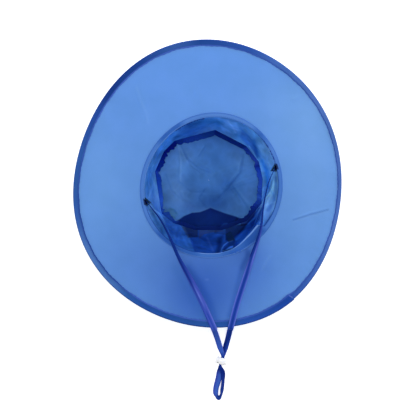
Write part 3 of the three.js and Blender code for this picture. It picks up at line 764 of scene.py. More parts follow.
# Painted shade where less light comes through the brim, and painted light where more does: middle in pixels, half size
# in pixels, colour
BRIM_PAINTED_LIGHT_SPOTS = (
    ((203, 292), (48, 56), (0.34, 0.44, 0.73)),
    ((252, 266), (28, 32), (0.72, 0.78, 0.93)),
    ((140, 265), (50, 42), (0.84, 0.86, 0.93)),
    ((245, 252), (14, 12), (0.74, 0.78, 0.86)),
    ((305, 110), (48, 42), (1.22, 1.12, 1.0)),
    ((318, 180), (28, 60), (1.18, 1.10, 1.0)),
    ((98, 180), (26, 60), (1.14, 1.10, 1.02)),
)
# Painted light and shade along lines: the dark and light sides of creases, the straps' shadows beside them, and small
# lighter and darker streaks: line in pixels, half width in pixels, colour
BRIM_PAINTED_LIGHT_LINES = (
    (((293.3, 219.9), (310, 214.2), (328.3, 209.5)), 0.8, (0.62, 0.68, 0.80)),
    (((293.3, 221.6), (310, 216), (328.3, 211.3)), 1.1, (1.12, 1.08, 1.03)),
    (((136.7, 86.7), (141, 101), (146, 112), (148.3, 123.3)), 1.1, (1.12, 1.07, 1.02)),
    (((188, 268), (200, 285), (208, 300), (216, 322)), 4.5, (0.62, 0.74, 0.88)),
    (((249, 252), (242, 266), (236, 290), (229, 316)), 2.6, (0.72, 0.80, 0.90)),
    (((176, 268), (188, 292), (203, 318)), 5.0, (0.88, 0.94, 0.94)),
    (((262, 270), (266, 262), (270, 256)), 1.6, (1.12, 1.08, 1.03)),
    (((206, 279.5), (208, 279.5)), 0.9, (1.5, 1.25, 1.1)),
    (((245, 243), (248, 256), (243, 268)), 3.0, (0.72, 0.76, 0.84)),
)


# Size of the bumps in its cloth, height, seed
BRIM_BUMPS = ((0.045, 0.0009, 3.1), (0.015, 0.00012, 7.7))
BRIM_BUMP_POWER = 0.7  # how soon they rise from the brim's two edges
BRIM_PUCKER = {"waves": (118, 4, 7), "power": 14, "height": 0.00035}  # along the binding


def brim():
    angles = np.arange(BRIM_COLUMNS) * 360 / BRIM_COLUMNS
    shares = np.linspace(0, 1, BRIM_ROWS)[:, None]
    room = edge_radius(angles) - brim_inner_radius(angles)
    rows = brim_point(angles, shares * (1 - (BINDING_FOLD + GAP) / room))
    middle = np.sin(np.pi * shares) ** BRIM_BUMP_POWER
    relief = sum(noise_at(rows, size, seed) * height * middle for size, height, seed in BRIM_BUMPS)
    pucker = ripple_round(np.radians(angles), *BRIM_PUCKER["waves"])
    pucker = pucker * shares ** BRIM_PUCKER["power"] * BRIM_PUCKER["height"]
    rows[..., 2] += relief + pucker + crease_relief(rows, BRIM_CREASES)
    return cloth_shell("brim_cloth_ring", rows, CLOTH, True, tinted(rows, (), BRIM_PAINTED_LIGHT_SPOTS, BRIM_PAINTED_LIGHT_LINES), -1)


# Binding, in from the brim's edge and up from the middle of its cloth: the upper half of its section, from the edge

BEAD_RADIUS = 0.0019  # over the wire
BEAD_STEPS = 6
BEAD_TURN = 120  # degrees of the bead on each side
BINDING_FLANK = (
    (0.0036, 0.00132), (0.0046, 0.00122), (0.0060, 0.00138), (0.0070, 0.00122), (0.0080, 0.00138),
    (0.0087, 0.00125), (0.0090, 0.00085), (0.0087, 0.0005), (0.0080, 0.00042), (0.0050, 0.00042), (0.0043, 0.0003),
)
BINDING_FACE = 0.0008  # further than this from the brim's cloth is the tape's outer face
BINDING_WIDENING = 1.8  # how strongly the table's width moves the inner edge
# Inset from which the inner edge wanders, from which it has its own painted highlight and shade, and up to which the
# outer edge has its own painted shade
BINDING_ZONES = {"wander": 0.0075, "inner": 0.0078, "outer": 0.0011}
BINDING_RIPPLE = {"waves": (163, 3, 11), "height": 0.00008, "slow_waves": 37, "slow_height": 0.00012, "wander": 2.5}
BINDING_STITCH = {
    "inset": 0.0066, "height": 0.00128, "step": 0.0029, "length": 0.0021, "thread": 0.0005, "tint": 0.55,
}
# Angle, width as a share of the usual one, how far the inner edge has painted highlight instead of painted shade, and
# tint of painted light and shade
BINDING_ROUND = (
    (0, 0.80, 0.5, 2.6, 1.85, 1.25), (30, 0.88, 0.4, 3.2, 2.1, 1.3), (60, 0.93, 0.5, 2.4, 1.85, 1.27),
    (75, 0.95, 0.6, 1.0, 1.1, 1.05), (95, 1.0, 0.8, 0.55, 0.78, 0.76), (105, 1.0, 0.9, 1.4, 1.3, 1.0),
    (120, 1.0, 0.9, 0.4, 0.66, 0.75), (137, 1.0, 1.0, 0.27, 0.48, 0.63), (150, 1.0, 0.9, 0.7, 0.9, 0.93),
    (165, 1.0, 0.6, 1.2, 1.35, 1.08), (180, 1.0, 0.4, 1.15, 1.3, 1.0), (192, 1.0, 0.1, 1.4, 1.4, 1.1),
    (208, 1.0, 0, 2.8, 2.2, 1.3), (225, 1.02, 0, 2.4, 2.0, 1.2), (233, 1.03, 0.5, 0.9, 1.3, 1.0),
    (240, 1.05, 0.9, 0.6, 1.0, 0.95), (270, 1.07, 0.7, 0.75, 1.1, 0.9), (285, 1.10, 0.6, 0.7, 1.0, 1.05),
    (304, 1.18, 0.4, 0.4, 0.75, 0.92), (307, 0.97, 0.4, 1.2, 1.2, 1.1), (335, 0.86, 0.5, 3.0, 2.1, 1.35),
    (360, 0.80, 0.5, 2.6, 1.85, 1.25),
)
LAP_STEP = (-0.001, 0.08)  # degrees from the lap's end, for the two sections of its step
# Painted shade on the bead's outer edge, and the painted highlight and shade between which the inner edge goes
BINDING_EDGE_PAINTED_SHADE = (0.35, 0.5, 0.6)
BINDING_PAINTED_HIGHLIGHT = (2.6, 1.7, 1.5)
BINDING_INNER_PAINTED_SHADE = (0.6, 0.7, 0.8)


def binding_frame(angle):
    edge = brim_point(angle, 1.0)
    outwards = unit(edge - brim_point(angle, 0.9))
    along = unit(brim_point(angle + 1, 1.0) - brim_point(angle - 1, 1.0))
    return edge, outwards, along, unit(np.cross(outwards, along))


def lap_share(angle):
    """How much of the lap's extra thickness the binding has at an angle: it ends in a step."""
    before = BINDING_LAP["angle"] - angle
    return np.where(before < 0, 0, np.clip(1 - before / BINDING_LAP["fade"], 0, 1))


def table_round(rows, angles):
    """The columns of a table whose rows start with an angle, between its rows."""
    table = np.array(rows)
    return np.stack([np.interp(np.mod(angles, 360), table[:, 0], column) for column in table.T[1:]])


def binding():
    step = BINDING_LAP["angle"] + np.array(LAP_STEP)
    angles = np.sort(np.concatenate([np.arange(BINDING_COLUMNS) * 360 / BINDING_COLUMNS, step]))
    edge, outwards, along, up = binding_frame(angles)
    width, pale, *shade = table_round(BINDING_ROUND, angles)
    shade = np.stack(shade, -1)
    bead = [
        (BEAD_RADIUS * (1 - math.cos(a)), BEAD_RADIUS * math.sin(a))
        for a in np.radians(np.linspace(0, BEAD_TURN, BEAD_STEPS + 1))
    ]
    upper = bead + list(BINDING_FLANK)
    section = upper + [(u, -v) for u, v in reversed(upper[1:])]
    lap = lap_share(angles)[:, None]
    turn = np.radians(angles)[:, None]
    ripple = ripple_round(turn, *BINDING_RIPPLE["waves"]) * BINDING_RIPPLE["height"]
    ripple = ripple + np.sin(turn * BINDING_RIPPLE["slow_waves"]) * BINDING_RIPPLE["slow_height"]
    dark, light = np.array(BINDING_INNER_PAINTED_SHADE), np.array(BINDING_PAINTED_HIGHLIGHT)
    inner_painted_light = dark + pale[:, None] * (light - dark)
    rings, tint = [], []
    for u, v in section:
        outer = abs(v) > BINDING_FACE
        inner = u > BINDING_FOLD
        lift = np.sign(v) * (lap * BINDING_LAP["lift"] * outer + ripple * inner * outer)
        nose = lap * BINDING_LAP["extra"] * (u < BEAD_RADIUS)
        wander = ripple * BINDING_RIPPLE["wander"] * (u > BINDING_ZONES["wander"])
        inset = u + max(u - BINDING_FOLD, 0) * (width[:, None] - 1) * BINDING_WIDENING
        rings.append(edge - outwards * (inset - nose + wander) + up * (v + lift))
        if u > BINDING_ZONES["inner"] and outer:
            tint.append(inner_painted_light)
        elif u < BINDING_ZONES["outer"]:
            tint.append(shade * BINDING_EDGE_PAINTED_SHADE)
        else:
            tint.append(shade)
    return swept("brim_binding_tape", np.stack(rings, 1)[:, ::-1], True, np.stack(tint, 1)[:, ::-1])


def binding_stitches():
    girth = 2 * math.pi * EDGE_RADIUS_COS[0]
    count = round(girth / BINDING_STITCH["step"])
    angles = (np.arange(count) + 0.5) * 360 / count
    edge, outwards, along, up = binding_frame(angles)
    rows = []
    for side in (1, -1):
        height = BINDING_STITCH["height"] + lap_share(angles)[:, None] * BINDING_LAP["lift"]
        rows.append((edge - outwards * BINDING_STITCH["inset"] + up * side * height, along, up * side))
    middles, runs, ups = (np.concatenate(parts) for parts in zip(*rows))
    return stitches("brim_binding_stitches", middles, runs, ups, BINDING_STITCH)


# Stitches that hold the lapped end of the binding, tinted pale as a painted highlight along the lap's end: angle,
# inset
LAP_TACKS = ((305.3, 0.0020), (305.2, 0.0040), (305.0, 0.0060), (304.7, 0.0078))
LAP_TACK = {"height": 0.00135, "length": 0.0026, "thread": 0.0007, "tint": (3.0, 1.7, 1.4)}


def lap_tacks():
    places = np.array(LAP_TACKS)
    edge, outwards, along, up = binding_frame(places[:, 0])
    middles = edge - outwards * places[:, 1:] + up * (LAP_TACK["height"] + BINDING_LAP["lift"])
    return stitches("binding_lap_tacks", middles, outwards, up, LAP_TACK)


# Tape round the head opening

BAND_COLUMNS = 720
# Share of the way out from its inner edge, height over its lower face in metres, and 0, 1 or 2 for the brightness of
# its inner edge, middle or outer edge
BAND_SECTION = (
    (0.0, 0.0, 0), (-0.012, 0.0005, 0), (0.03, 0.00095, 0), (0.09, 0.00110, 0), (0.16, 0.00098, 1),
    (0.3, 0.00118, 1), (0.5, 0.00128, 1), (0.7, 0.00116, 1), (0.82, 0.00092, 1), (0.92, 0.00106, 2),
    (0.985, 0.0008, 2), (1.0, 0.0004, 2), (0.985, 0.0, 2), (0.5, 0.0, 2),
)
# Its wander reaches out to the share edge_to; from the height face_from on, the tape also rises and falls
BAND_RIPPLE = {"waves": (90, 3, 9), "height": 0.00007, "wander": 40, "edge_to": 0.3, "face_from": 0.0006}
BAND_STITCH = {"height": 0.00098, "step": 0.0026, "length": 0.0019, "thread": 0.00042}
# Share of the way out and tint of its two rows of stitches
BAND_STITCH_ROWS = ((0.2, 0.9), (0.82, 1.2))
# Angle, how far the strap draws its inner edge in, and the brightness of its inner edge, middle and outer edge:
# painted light and shade
BAND_ROUND = (
    (0, 0, 0.45, 0.87, 0.85), (17, 0, 0.6, 0.95, 0.85), (30, 0, 0.9, 1.05, 0.8), (38, 0, 0.6, 0.8, 0.8),
    (45, 0, 0.5, 0.6, 0.8), (55, 0, 0.9, 1.1, 0.82), (90, 0, 1.1, 1.1, 0.88), (112, 0, 1.2, 1.05, 0.82),
    (120, 0, 1.2, 0.6, 0.8), (137, 0, 1.3, 0.55, 0.8), (145, 0, 1.4, 0.95, 0.78), (170, 0, 1.3, 0.95, 0.78),
    (195, 0, 1.1, 0.98, 0.82), (203, 0, 0.5, 1.0, 0.82), (218, 0, 0.35, 0.85, 0.82), (225, 0, 0.3, 0.5, 0.8),
    (240, 0, 0.3, 0.55, 1.1), (256, 0, 0.35, 0.6, 1.2), (262, 0, 1.6, 0.8, 1.2), (277, 0, 1.6, 0.8, 1.2),
    (280, 0.0005, 0.9, 0.7, 1.2), (287, 0.001, 1.0, 0.6, 1.2), (294, 0.0032, 1.3, 0.62, 1.1),
    (303, 0.0068, 1.5, 0.45, 0.9), (313, 0.0088, 1.5, 0.48, 0.8), (318, 0.0090, 1.5, 0.6, 0.7),
    (321, 0.001, 0.35, 0.9, 0.7), (335, 0, 0.35, 0.92, 0.82), (360, 0, 0.45, 0.87, 0.85),
)
BAND_SHADE_POWERS = (1.7, 1.0, 0.5)  # what lies darker is bluer
# Near black: painted shadow inside the slits
SLIT_PAINTED_SHADOW = (0.01, 0.008, 0.05)
# Painted shadow where the tape folds down into the two slits
BAND_SLIT_PAINTED_SHADOWS = (
    (((276, 163.5), (277.2, 163.8), (278.9, 169.4), (274.5, 169.4)), 0.8, SLIT_PAINTED_SHADOW),
    (((142.9, 198.4), (146, 199.5), (146, 206), (144, 204.5)), 0.8, SLIT_PAINTED_SHADOW),
)


def band_point(angle, share, above):
    drawn = table_round(BAND_ROUND, angle)[0]
    radius = opening_radius(angle) - BAND_INSET - drawn + share * (BAND_WIDTH + drawn)
    inner = brim_inner_radius(angle)
    along_brim = np.maximum((radius - inner) / (edge_radius(angle) - inner), 0)
    base = brim_point(angle, along_brim)[..., 2] + CAD_CLOTH / 2 + GAP
    turn = np.radians(angle)
    return np.stack([radius * np.cos(turn), radius * np.sin(turn), base + above], -1)


def rim_band():
    angles = np.arange(BAND_COLUMNS) * 360 / BAND_COLUMNS
    turn = np.radians(angles)
    ripple = ripple_round(turn, *BAND_RIPPLE["waves"]) * BAND_RIPPLE["height"]
    shades = table_round(BAND_ROUND, angles)[1:]
    rings, tint = [], []
    for share, above, part in BAND_SECTION:
        share = share + ripple * BAND_RIPPLE["wander"] * (share < BAND_RIPPLE["edge_to"])
        rings.append(band_point(angles, share, above + ripple * (above > BAND_RIPPLE["face_from"])))
        tint.append(shades[part][:, None] ** np.array(BAND_SHADE_POWERS))
    rings = np.stack(rings, 1)
    tint = np.stack(tint, 1) * tinted(rings, BAND_SLIT_PAINTED_SHADOWS)
    return swept("rim_band_tape", rings[:, ::-1], True, tint[:, ::-1])


def band_stitches():
    count = round(2 * math.pi * OPENING_COS[0] / BAND_STITCH["step"])
    angles = (np.arange(count) + 0.5) * 360 / count
    middles = np.concatenate([band_point(angles, share, BAND_STITCH["height"]) for share, _ in BAND_STITCH_ROWS])
    along = np.concatenate([round_at(angles)] * len(BAND_STITCH_ROWS))
    tint = np.repeat([tint for _, tint in BAND_STITCH_ROWS], count)[:, None]
    up = np.broadcast_to(UP, along.shape)
    return stitches("rim_band_stitches", middles, along, up, {**BAND_STITCH, "tint": tint})


# Crown's wall

WALL_CREASES = (
    (((144.5, 200), (161.4, 214), (165.8, 229), (171.2, 244)), 1.2, 0.0012),
    (((274, 169), (261.7, 208), (257, 225), (249.3, 236.6), (233, 249.6)), 1.3, 0.0013),
    (((263.2, 205), (272.3, 202.3)), 1.2, 0.0008),
    (((262.5, 207), (275, 208)), 1.4, 0.0007),
    (((263, 200), (270, 186)), 1.4, 0.0007),
    (((259, 147), (264, 160), (272, 166)), 1.8, 0.0012),
    (((262, 146), (270, 155), (275, 163)), 1.4, -0.0010),
    (((176.6, 135.8), (190, 132), (204.6, 129)), 2.4, 0.0010),
    (((244, 143), (252, 151), (258, 161)), 1.1, 0.0012),
    (((225, 119), (233, 127), (240, 133)), 1.8, 0.0009),
    (((150, 165), (147, 180), (149, 192)), 1.6, 0.0008),
    (((147, 206), (152, 222), (163, 236)), 1.6, -0.0008),
    (((177.2, 225), (186.4, 235.3), (191.8, 241.5), (194, 250)), 1.3, 0.0012),
    (((199, 237), (210, 232), (222, 232)), 1.4, 0.0012),
)
# Painted shade and light where folded cloth behind it or a pocket shades or lights the wall, and painted shadow in the
# slits: outline in pixels, soft edge, colour
WALL_PAINTED_SHADE_PATCHES = (
    (((184, 226), (226, 226), (246, 224), (240, 234), (230, 242), (223, 254), (195, 254), (190, 240)), 2.5,
     (0.30, 0.41, 0.68)),
    (((181, 226), (198, 229), (198, 237), (188, 238)), 1.6, (0.9, 0.42, 0.35)),
    (((199, 229), (224, 231), (213, 232.5), (204, 234.5), (199, 239)), 1.2, (2.4, 0.9, 0.64)),
    (((225, 225), (247, 224), (244, 230), (236, 236), (231, 241.5), (225.5, 240.5)), 2, (0.5, 0.32, 0.32)),
    (((218, 238), (224, 234), (222, 244), (220, 256), (215, 256)), 4.5, (0.30, 0.36, 0.45)),
    (((221.5, 252), (222, 249), (224, 246), (228, 243), (236, 241), (240, 247), (232, 255)), 1, (0.7, 0.8, 1.0)),
    (((215, 229), (225, 230), (225, 235), (214, 233.5)), 1.5, (0.75, 0.57, 0.55)),
    (((240, 220), (252, 213), (256, 210), (254, 217), (247, 225), (241, 226)), 1.2, (0.45, 0.3, 0.42)),
    (((172, 226), (177, 226), (180, 240), (174, 240)), 2, (1.5, 1.3, 1.2)),
    (((258, 172), (266, 172), (268, 186), (260, 188)), 3, (0.75, 0.78, 0.8)),
    (((162, 212), (178, 223), (187, 236), (192, 247), (194, 254), (176, 254), (168, 238)), 2.5, (0.8, 0.8, 0.85)),
    (((263, 205), (258, 208), (247, 222), (231, 241), (222, 252), (232, 254), (246, 243), (259, 226)), 2.5,
     (0.15, 0.29, 0.51)),
    (((146, 203), (150, 203), (163, 221), (170, 240), (166, 242), (153, 227)), 2.5, (1.0, 0.95, 0.85)),
    (((272, 171), (279, 171), (281, 190), (276, 209), (262, 231), (262, 212), (267, 196)), 2, (1.5, 1.25, 1.05)),
    (((259, 141), (266, 143), (277, 162), (273, 168), (264, 164), (257, 150)), 4, (1.4, 1.15, 1.1)),
    (((176, 139), (190, 131), (214, 126), (214, 131), (190, 137)), 2.5, (1.2, 1.1, 1.1)),
    (((218, 118), (236, 122), (240, 130), (234, 134), (222, 130)), 3, (1.7, 1.4, 1.25)),
    (((242, 130), (250, 136), (258, 150), (258, 160), (248, 148), (240, 136)), 3, (0.55, 0.64, 0.85)),
    (((142, 195), (151, 202.6), (144, 208.5)), 1.0, SLIT_PAINTED_SHADOW),
    (((276.7, 160.5), (270.6, 171.3), (281, 171.3)), 1.0, SLIT_PAINTED_SHADOW),
)
# Angle and tint: painted light and shade for how much light comes through the wall from outside
WALL_PAINTED_LIGHT_ROUND = (
    (0, 2.2, 1.8, 1.45), (30, 2.2, 1.7, 1.25), (60, 1.4, 1.05, 0.95), (90, 1.0, 0.78, 0.78), (112, 0.5, 0.5, 0.65),
    (135, 1.25, 1.15, 1.15), (180, 1.6, 1.4, 1.3), (197, 2.0, 1.5, 1.35), (212, 1.1, 1.15, 1.35),
    (225, 0.42, 0.62, 1.0), (270, 0.45, 0.75, 1.05), (285, 0.75, 1.0, 1.3), (300, 0.75, 1.0, 1.25),
    (315, 0.3, 0.58, 0.98), (330, 1.1, 1.0, 1.15), (360, 2.2, 1.8, 1.45),
)
# Painted light and shade along creases, edges and lips of the wall: line in pixels, half width in pixels, colour
WALL_PAINTED_LIGHT_LINES = (
    (((249, 146), (253.5, 152.5), (257.5, 160)), 0.6, (2.2, 1.7, 1.35)),
    (((254, 141), (256, 149), (258, 156)), 2.6, (0.3, 0.5, 0.75)),
    (((258.8, 223), (247, 239.5), (242, 243.5)), 1.5, (3.5, 2.4, 1.7)),
    (((221.3, 253), (221.6, 249.5), (223.5, 246), (227, 243), (229, 242)), 0.6, (5.0, 2.8, 1.8)),
    (((278.6, 172), (280, 188), (277, 203)), 1.3, (0.35, 0.42, 0.55)),
    (((276, 178), (277, 190), (273, 203), (268, 210)), 2.2, (0.5, 0.6, 0.78)),
    (((280, 190), (275, 210), (262, 230)), 0.9, (0.2, 0.3, 0.5)),
    (((151, 210), (157, 222), (163, 233)), 1.6, (0.5, 0.62, 0.7)),
    (((148, 212), (153, 223), (160, 233)), 1.0, (1.5, 1.3, 1.15)),
    (((160, 227), (165, 235), (168, 239)), 1.5, (1.5, 1.3, 1.15)),
    (((261, 207), (255, 218), (248, 224)), 0.8, (4.0, 2.4, 1.6)),
    (((262, 161), (266, 170), (268, 186)), 2.2, (0.35, 0.7, 0.95)),
    (((268, 186), (273, 194), (275, 200)), 1.0, (0.7, 0.82, 0.92)),
    (((264, 206), (275, 202)), 0.9, (1.3, 1.2, 1.1)),
    (((149, 197), (156, 176), (163, 158)), 1.3, (1.35, 1.2, 1.1)),
    (((150, 168), (147, 184), (148, 196)), 1.2, (0.6, 0.78, 0.9)),
    (((153, 165), (151, 176), (155, 186)), 0.9, (1.3, 1.2, 1.1)),
    (((178, 228), (176, 243)), 1.0, (0.7, 0.82, 0.92)),
    (((207, 238), (210, 244), (213, 251)), 1.2, (2.4, 1.4, 1.2)),
    (((166, 150), (176, 137), (190, 131), (205, 126)), 1.2, (0.7, 0.82, 0.92)),
    (((160, 152), (167, 142), (178, 131)), 1.0, (1.35, 1.2, 1.1)),
    (((190, 125), (200, 122), (212, 120.5), (222, 122)), 3.2, (0.5, 0.77, 0.86)),
    (((228, 121), (233, 127), (236, 133)), 0.8, (1.35, 1.2, 1.1)),
    (((240, 128), (246, 133), (252, 140)), 0.9, (0.65, 0.8, 0.92)),
    (((250, 226), (240, 236), (231, 245)), 1.2, (1.5, 1.3, 1.2)),
    (((180, 232), (185, 241), (190, 251)), 1.0, (1.4, 1.2, 1.1)),
)


# Its relief: facets of crumpled cloth, flattened upwards, small bumps, and the gathers; and the painted light and
# shade of how the facets catch light
WALL_FACETS = {"size": 0.030, "flatten": 0.5, "seed": 5.3, "middle": 0.55, "height": 0.0022}
WALL_BUMPS = {"size": 0.012, "seed": 1.7, "height": 0.0005}
WALL_GATHER = {"waves": (57, 5, 5), "height": 0.0004, "fall": 14}  # under the opening's edge
WALL_PAINTED_SHEEN = {"size": 0.026, "flatten": 0.6, "strength": 0.30, "seed": 2.9}


def crown_wall():
    angles = np.arange(WALL_COLUMNS) * 360 / WALL_COLUMNS
    rows = np.linspace(0, len(WALL_ROWS) - 1, WALL_STEPS + 1)[:, None]
    grid = wall_point(angles, rows)
    down = rows / (len(WALL_ROWS) - 1)
    middle = np.sqrt(np.clip(np.sin(np.pi * down), 0, 1))
    facets = crumple_at(grid * (1, 1, WALL_FACETS["flatten"]), WALL_FACETS["size"], WALL_FACETS["seed"])
    crumple = (facets - WALL_FACETS["middle"]) * WALL_FACETS["height"]
    crumple = crumple + noise_at(grid, WALL_BUMPS["size"], WALL_BUMPS["seed"]) * WALL_BUMPS["height"]
    turn = np.radians(angles)
    gather = ripple_round(turn, *WALL_GATHER["waves"]) * WALL_GATHER["height"] * np.exp(-down * WALL_GATHER["fall"])
    relief = crumple * middle + gather * middle + crease_relief(grid, WALL_CREASES) * middle
    grid = grid - outwards_at(angles) * relief[..., None]
    # Painted light and shade: patches, lines, light through the wall round the hat, and how its facets catch light
    tint = tinted(grid, WALL_PAINTED_SHADE_PATCHES, (), WALL_PAINTED_LIGHT_LINES) * np.stack(table_round(WALL_PAINTED_LIGHT_ROUND, angles), -1)
    sheen = grid * (1, 1, WALL_PAINTED_SHEEN["flatten"])
    tint = tint * painted_facet_light(sheen, WALL_PAINTED_SHEEN["size"], WALL_PAINTED_SHEEN["strength"], WALL_PAINTED_SHEEN["seed"])
    return cloth_shell("crown_wall_cloth", grid, CLOTH, True, tint)


SLIT_POCKET = {"valley_height": 0.0870, "rim_height": 0.0946, "columns": 28, "steps": 12}


def slit_shade_pocket(name, slit):
    """The folded cloth that closes a slit: down from the opening's edge and up again to the wall's hanging lip,
    painted near black as the shadow inside the slit.
    """
    start, _, end, _ = slit
    angle = np.linspace(min(start, end), max(start, end), SLIT_POCKET["columns"])
    rim = outwards_at(angle) * opening_radius(angle)[:, None] + (0, 0, SLIT_POCKET["rim_height"])
    lip = wall_point(angle, np.zeros(len(angle)))
    shares = np.linspace(0, 1, SLIT_POCKET["steps"])[:, None, None]
    rows = rim + (lip - rim) * shares
    open_share = slit_depth(angle) / slit[3]
    depth = (CROWN_DEPTH - SLIT_POCKET["valley_height"]) * open_share
    rows[..., 2] -= depth * np.sqrt(np.clip(np.sin(np.pi * shares[..., 0]), 0, 1))
    return cloth_shell(name, rows, CLOTH / 2, False, np.broadcast_to(SLIT_PAINTED_SHADOW, rows.shape))


# Stitches that show on the inside of the opening's edge: angle, and row of the wall or, below 0, the tape
RIM_TACKS = (
    (38.5, -1.0), (34.5, -1.0), (33.0, -1.0), (28.5, -1.0), (26.0, -1.0), (23.0, -1.0), (21.5, -1.0),
    (123.5, 1.1), (121.5, 1.0), (119.5, 1.1), (117.0, 0.9), (115.0, 1.1), (112.0, 1.0), (110.0, 0.9), (108.0, 1.1),
    (105.0, 0.9), (102.5, 1.0), (100.5, 1.0), (99.0, 0.9), (97.8, 1.0), (97.5, 1.4), (96.9, 0.6),
)
RIM_TACK = {"share": 0.05, "height": 0.0011, "length": 0.0028, "thread": 0.0011, "tint": (0.12, 0.2, 0.5)}


def rim_tacks():
    places = np.array(RIM_TACKS)
    inwards = -outwards_at(places[:, 0])
    on_tape = places[:, 1:] < 0
    over = band_point(places[:, 0], RIM_TACK["share"], RIM_TACK["height"])
    under = wall_point(places[:, 0], np.clip(places[:, 1], 0, None)) + inwards * CLOTH / 2
    up = np.where(on_tape, UP, inwards)
    middles = np.where(on_tape, over, under)
    return stitches("rim_tacks", middles, round_at(places[:, 0]), up, RIM_TACK)


# Crown's top

TOP_CREASES = (
    (((180, 147), (181, 160), (179, 182)), 1.1, 0.0013),
    (((183, 147), (188, 158), (192, 165), (200, 171), (206, 178)), 1.2, 0.0015),
    (((205, 147), (200, 157)), 1.3, 0.0008),
    (((198, 163), (210, 169), (216, 176)), 1.3, 0.0008),
    (((243, 157), (241, 170), (228, 186), (221, 198)), 1.3, 0.0013),
    (((230, 186), (238, 196), (243, 207)), 1.3, 0.0011),
    (((232, 187), (245, 178), (257, 170)), 1.6, 0.0009),
    (((245, 168), (257, 167)), 1.2, 0.0006),
    (((178, 186), (184, 199), (196, 204)), 1.6, 0.0009),
    (((172, 176), (173, 190), (178, 200)), 1.6, 0.0008),
    (((205, 189), (199, 198), (206, 207)), 1.6, -0.0008),
    (((166, 208), (174, 209), (178, 214), (174, 219)), 1.2, 0.0013),
)
# Painted shade on the lower part of the top, up to a peak in its middle, and painted light and shade beside it
TOP_PAINTED_SHADE_PATCHES = (
    (((173, 224), (176, 221.5), (184, 216), (192, 212.7), (200, 212), (205.5, 210), (210.5, 207.8), (217, 210.3),
      (226, 213.5), (236, 216.5), (243, 219.5), (247, 223), (244, 232), (176, 232)), 1.4, (0.024, 0.09, 0.29)),
    (((194, 214), (210.5, 209), (222, 216), (216, 226), (198, 226)), 7, (2.0, 1.4, 1.2)),
    (((236, 217), (248, 221), (246, 228), (234, 226)), 2, (0.6, 0.6, 0.6)),
    (((176, 231), (176, 222.8), (184, 224.8), (197, 228.4), (206, 227.6), (226, 224.5), (247, 224), (247, 232)), 1.2,
     (0.5, 0.6, 0.7)),
    (((166, 209), (173, 208), (178, 214), (174, 220), (168, 217)), 2, (0.95, 1.0, 0.85)),
)
# Painted light and shade on facets of the top: middle in pixels, half size in pixels, colour
TOP_PAINTED_LIGHT_SPOTS = (
    ((176, 162), (18, 32), (1.75, 1.42, 1.22)),
    ((175, 198), (11, 14), (1.45, 1.22, 1.1)),
    ((244, 160), (14, 14), (1.25, 1.1, 1.0)),
    ((190, 180), (8, 11), (0.84, 0.90, 0.96)),
    ((200, 190), (8, 7), (0.84, 0.87, 0.9)),
    ((228, 185), (8, 8), (0.64, 0.78, 0.94)),
    ((214, 202), (19, 12), (0.40, 0.50, 0.66)),
    ((190, 207), (9, 5), (0.86, 0.8, 0.86)),
    ((238, 205), (8, 9), (1.2, 1.1, 1.05)),
    ((248, 190), (7, 12), (1.3, 1.15, 1.12)),
    ((216, 158), (10, 8), (0.9, 0.94, 0.98)),
)
# Painted light and shade along the creases and the seam of the top: line in pixels, half width in pixels, colour
TOP_PAINTED_LIGHT_LINES = (
    (((178.5, 146), (180.8, 160), (180.6, 181)), 0.8, (1.35, 1.22, 1.12)),
    (((181, 146), (187.3, 158.9), (199.7, 168.7), (208.7, 172)), 1.1, (0.78, 0.84, 0.90)),
    (((179.5, 146), (185.5, 159.5), (196, 169)), 1.0, (1.18, 1.12, 1.06)),
    (((205.4, 146), (199, 156)), 1.0, (0.80, 0.86, 0.92)),
    (((203.5, 146), (197.4, 155.5)), 0.8, (1.15, 1.10, 1.05)),
    (((243.3, 155), (240, 173), (226.8, 189.3), (218.6, 197.5)), 1.3, (0.74, 0.81, 0.88)),
    (((241, 158), (237.4, 172), (224.5, 187)), 1.0, (1.14, 1.10, 1.05)),
    (((233, 187), (243.3, 200.8), (251, 213)), 1.0, (0.80, 0.86, 0.92)),
    (((235, 186), (245, 199), (253, 209)), 1.0, (1.16, 1.11, 1.05)),
    (((226, 188), (240, 181), (256, 175)), 1.0, (1.15, 1.10, 1.05)),
    (((228, 191), (242, 185), (256, 181)), 1.0, (0.86, 0.90, 0.94)),
    (((166, 174.5), (171, 189), (179, 197.5)), 1.0, (0.82, 0.88, 0.93)),
    (((179, 181), (192, 192.5), (204, 191)), 1.0, (0.84, 0.89, 0.94)),
    (((181, 191), (200, 194), (217, 194)), 0.9, (1.12, 1.08, 1.04)),
    (((210, 176), (222, 170), (238, 164)), 1.2, (1.10, 1.07, 1.03)),
    (((205, 189), (199, 198), (206, 207)), 1.0, (0.84, 0.88, 0.93)),
    (((170, 208.5), (174.5, 210), (177, 214)), 0.8, (0.7, 0.85, 0.9)),
    (((222, 226), (224, 224), (227, 223.5)), 0.7, (5.0, 2.8, 1.8)),
    (((204, 231.6), (216, 230.6), (222, 231.4)), 0.6, (4.0, 2.0, 1.6)),
)


# Its relief: facets of crumpled cloth and broad bumps; and the painted light and shade of how the facets catch light
TOP_FACETS = {"size": 0.034, "seed": 2.2, "height": 0.0013}
TOP_BUMPS = {"size": 0.02, "seed": 9.1, "rise": 0.5, "height": 0.0007}
TOP_PAINTED_SHEEN = {"size": 0.030, "strength": 0.22, "seed": 6.4}
TOP_LIFT = 0.0002  # over the floor
TOP_INNERMOST = 0.004  # share of the way out of its smallest ring
TOP_FLAT_EDGE = 0.08  # share of the way in over which its relief rises


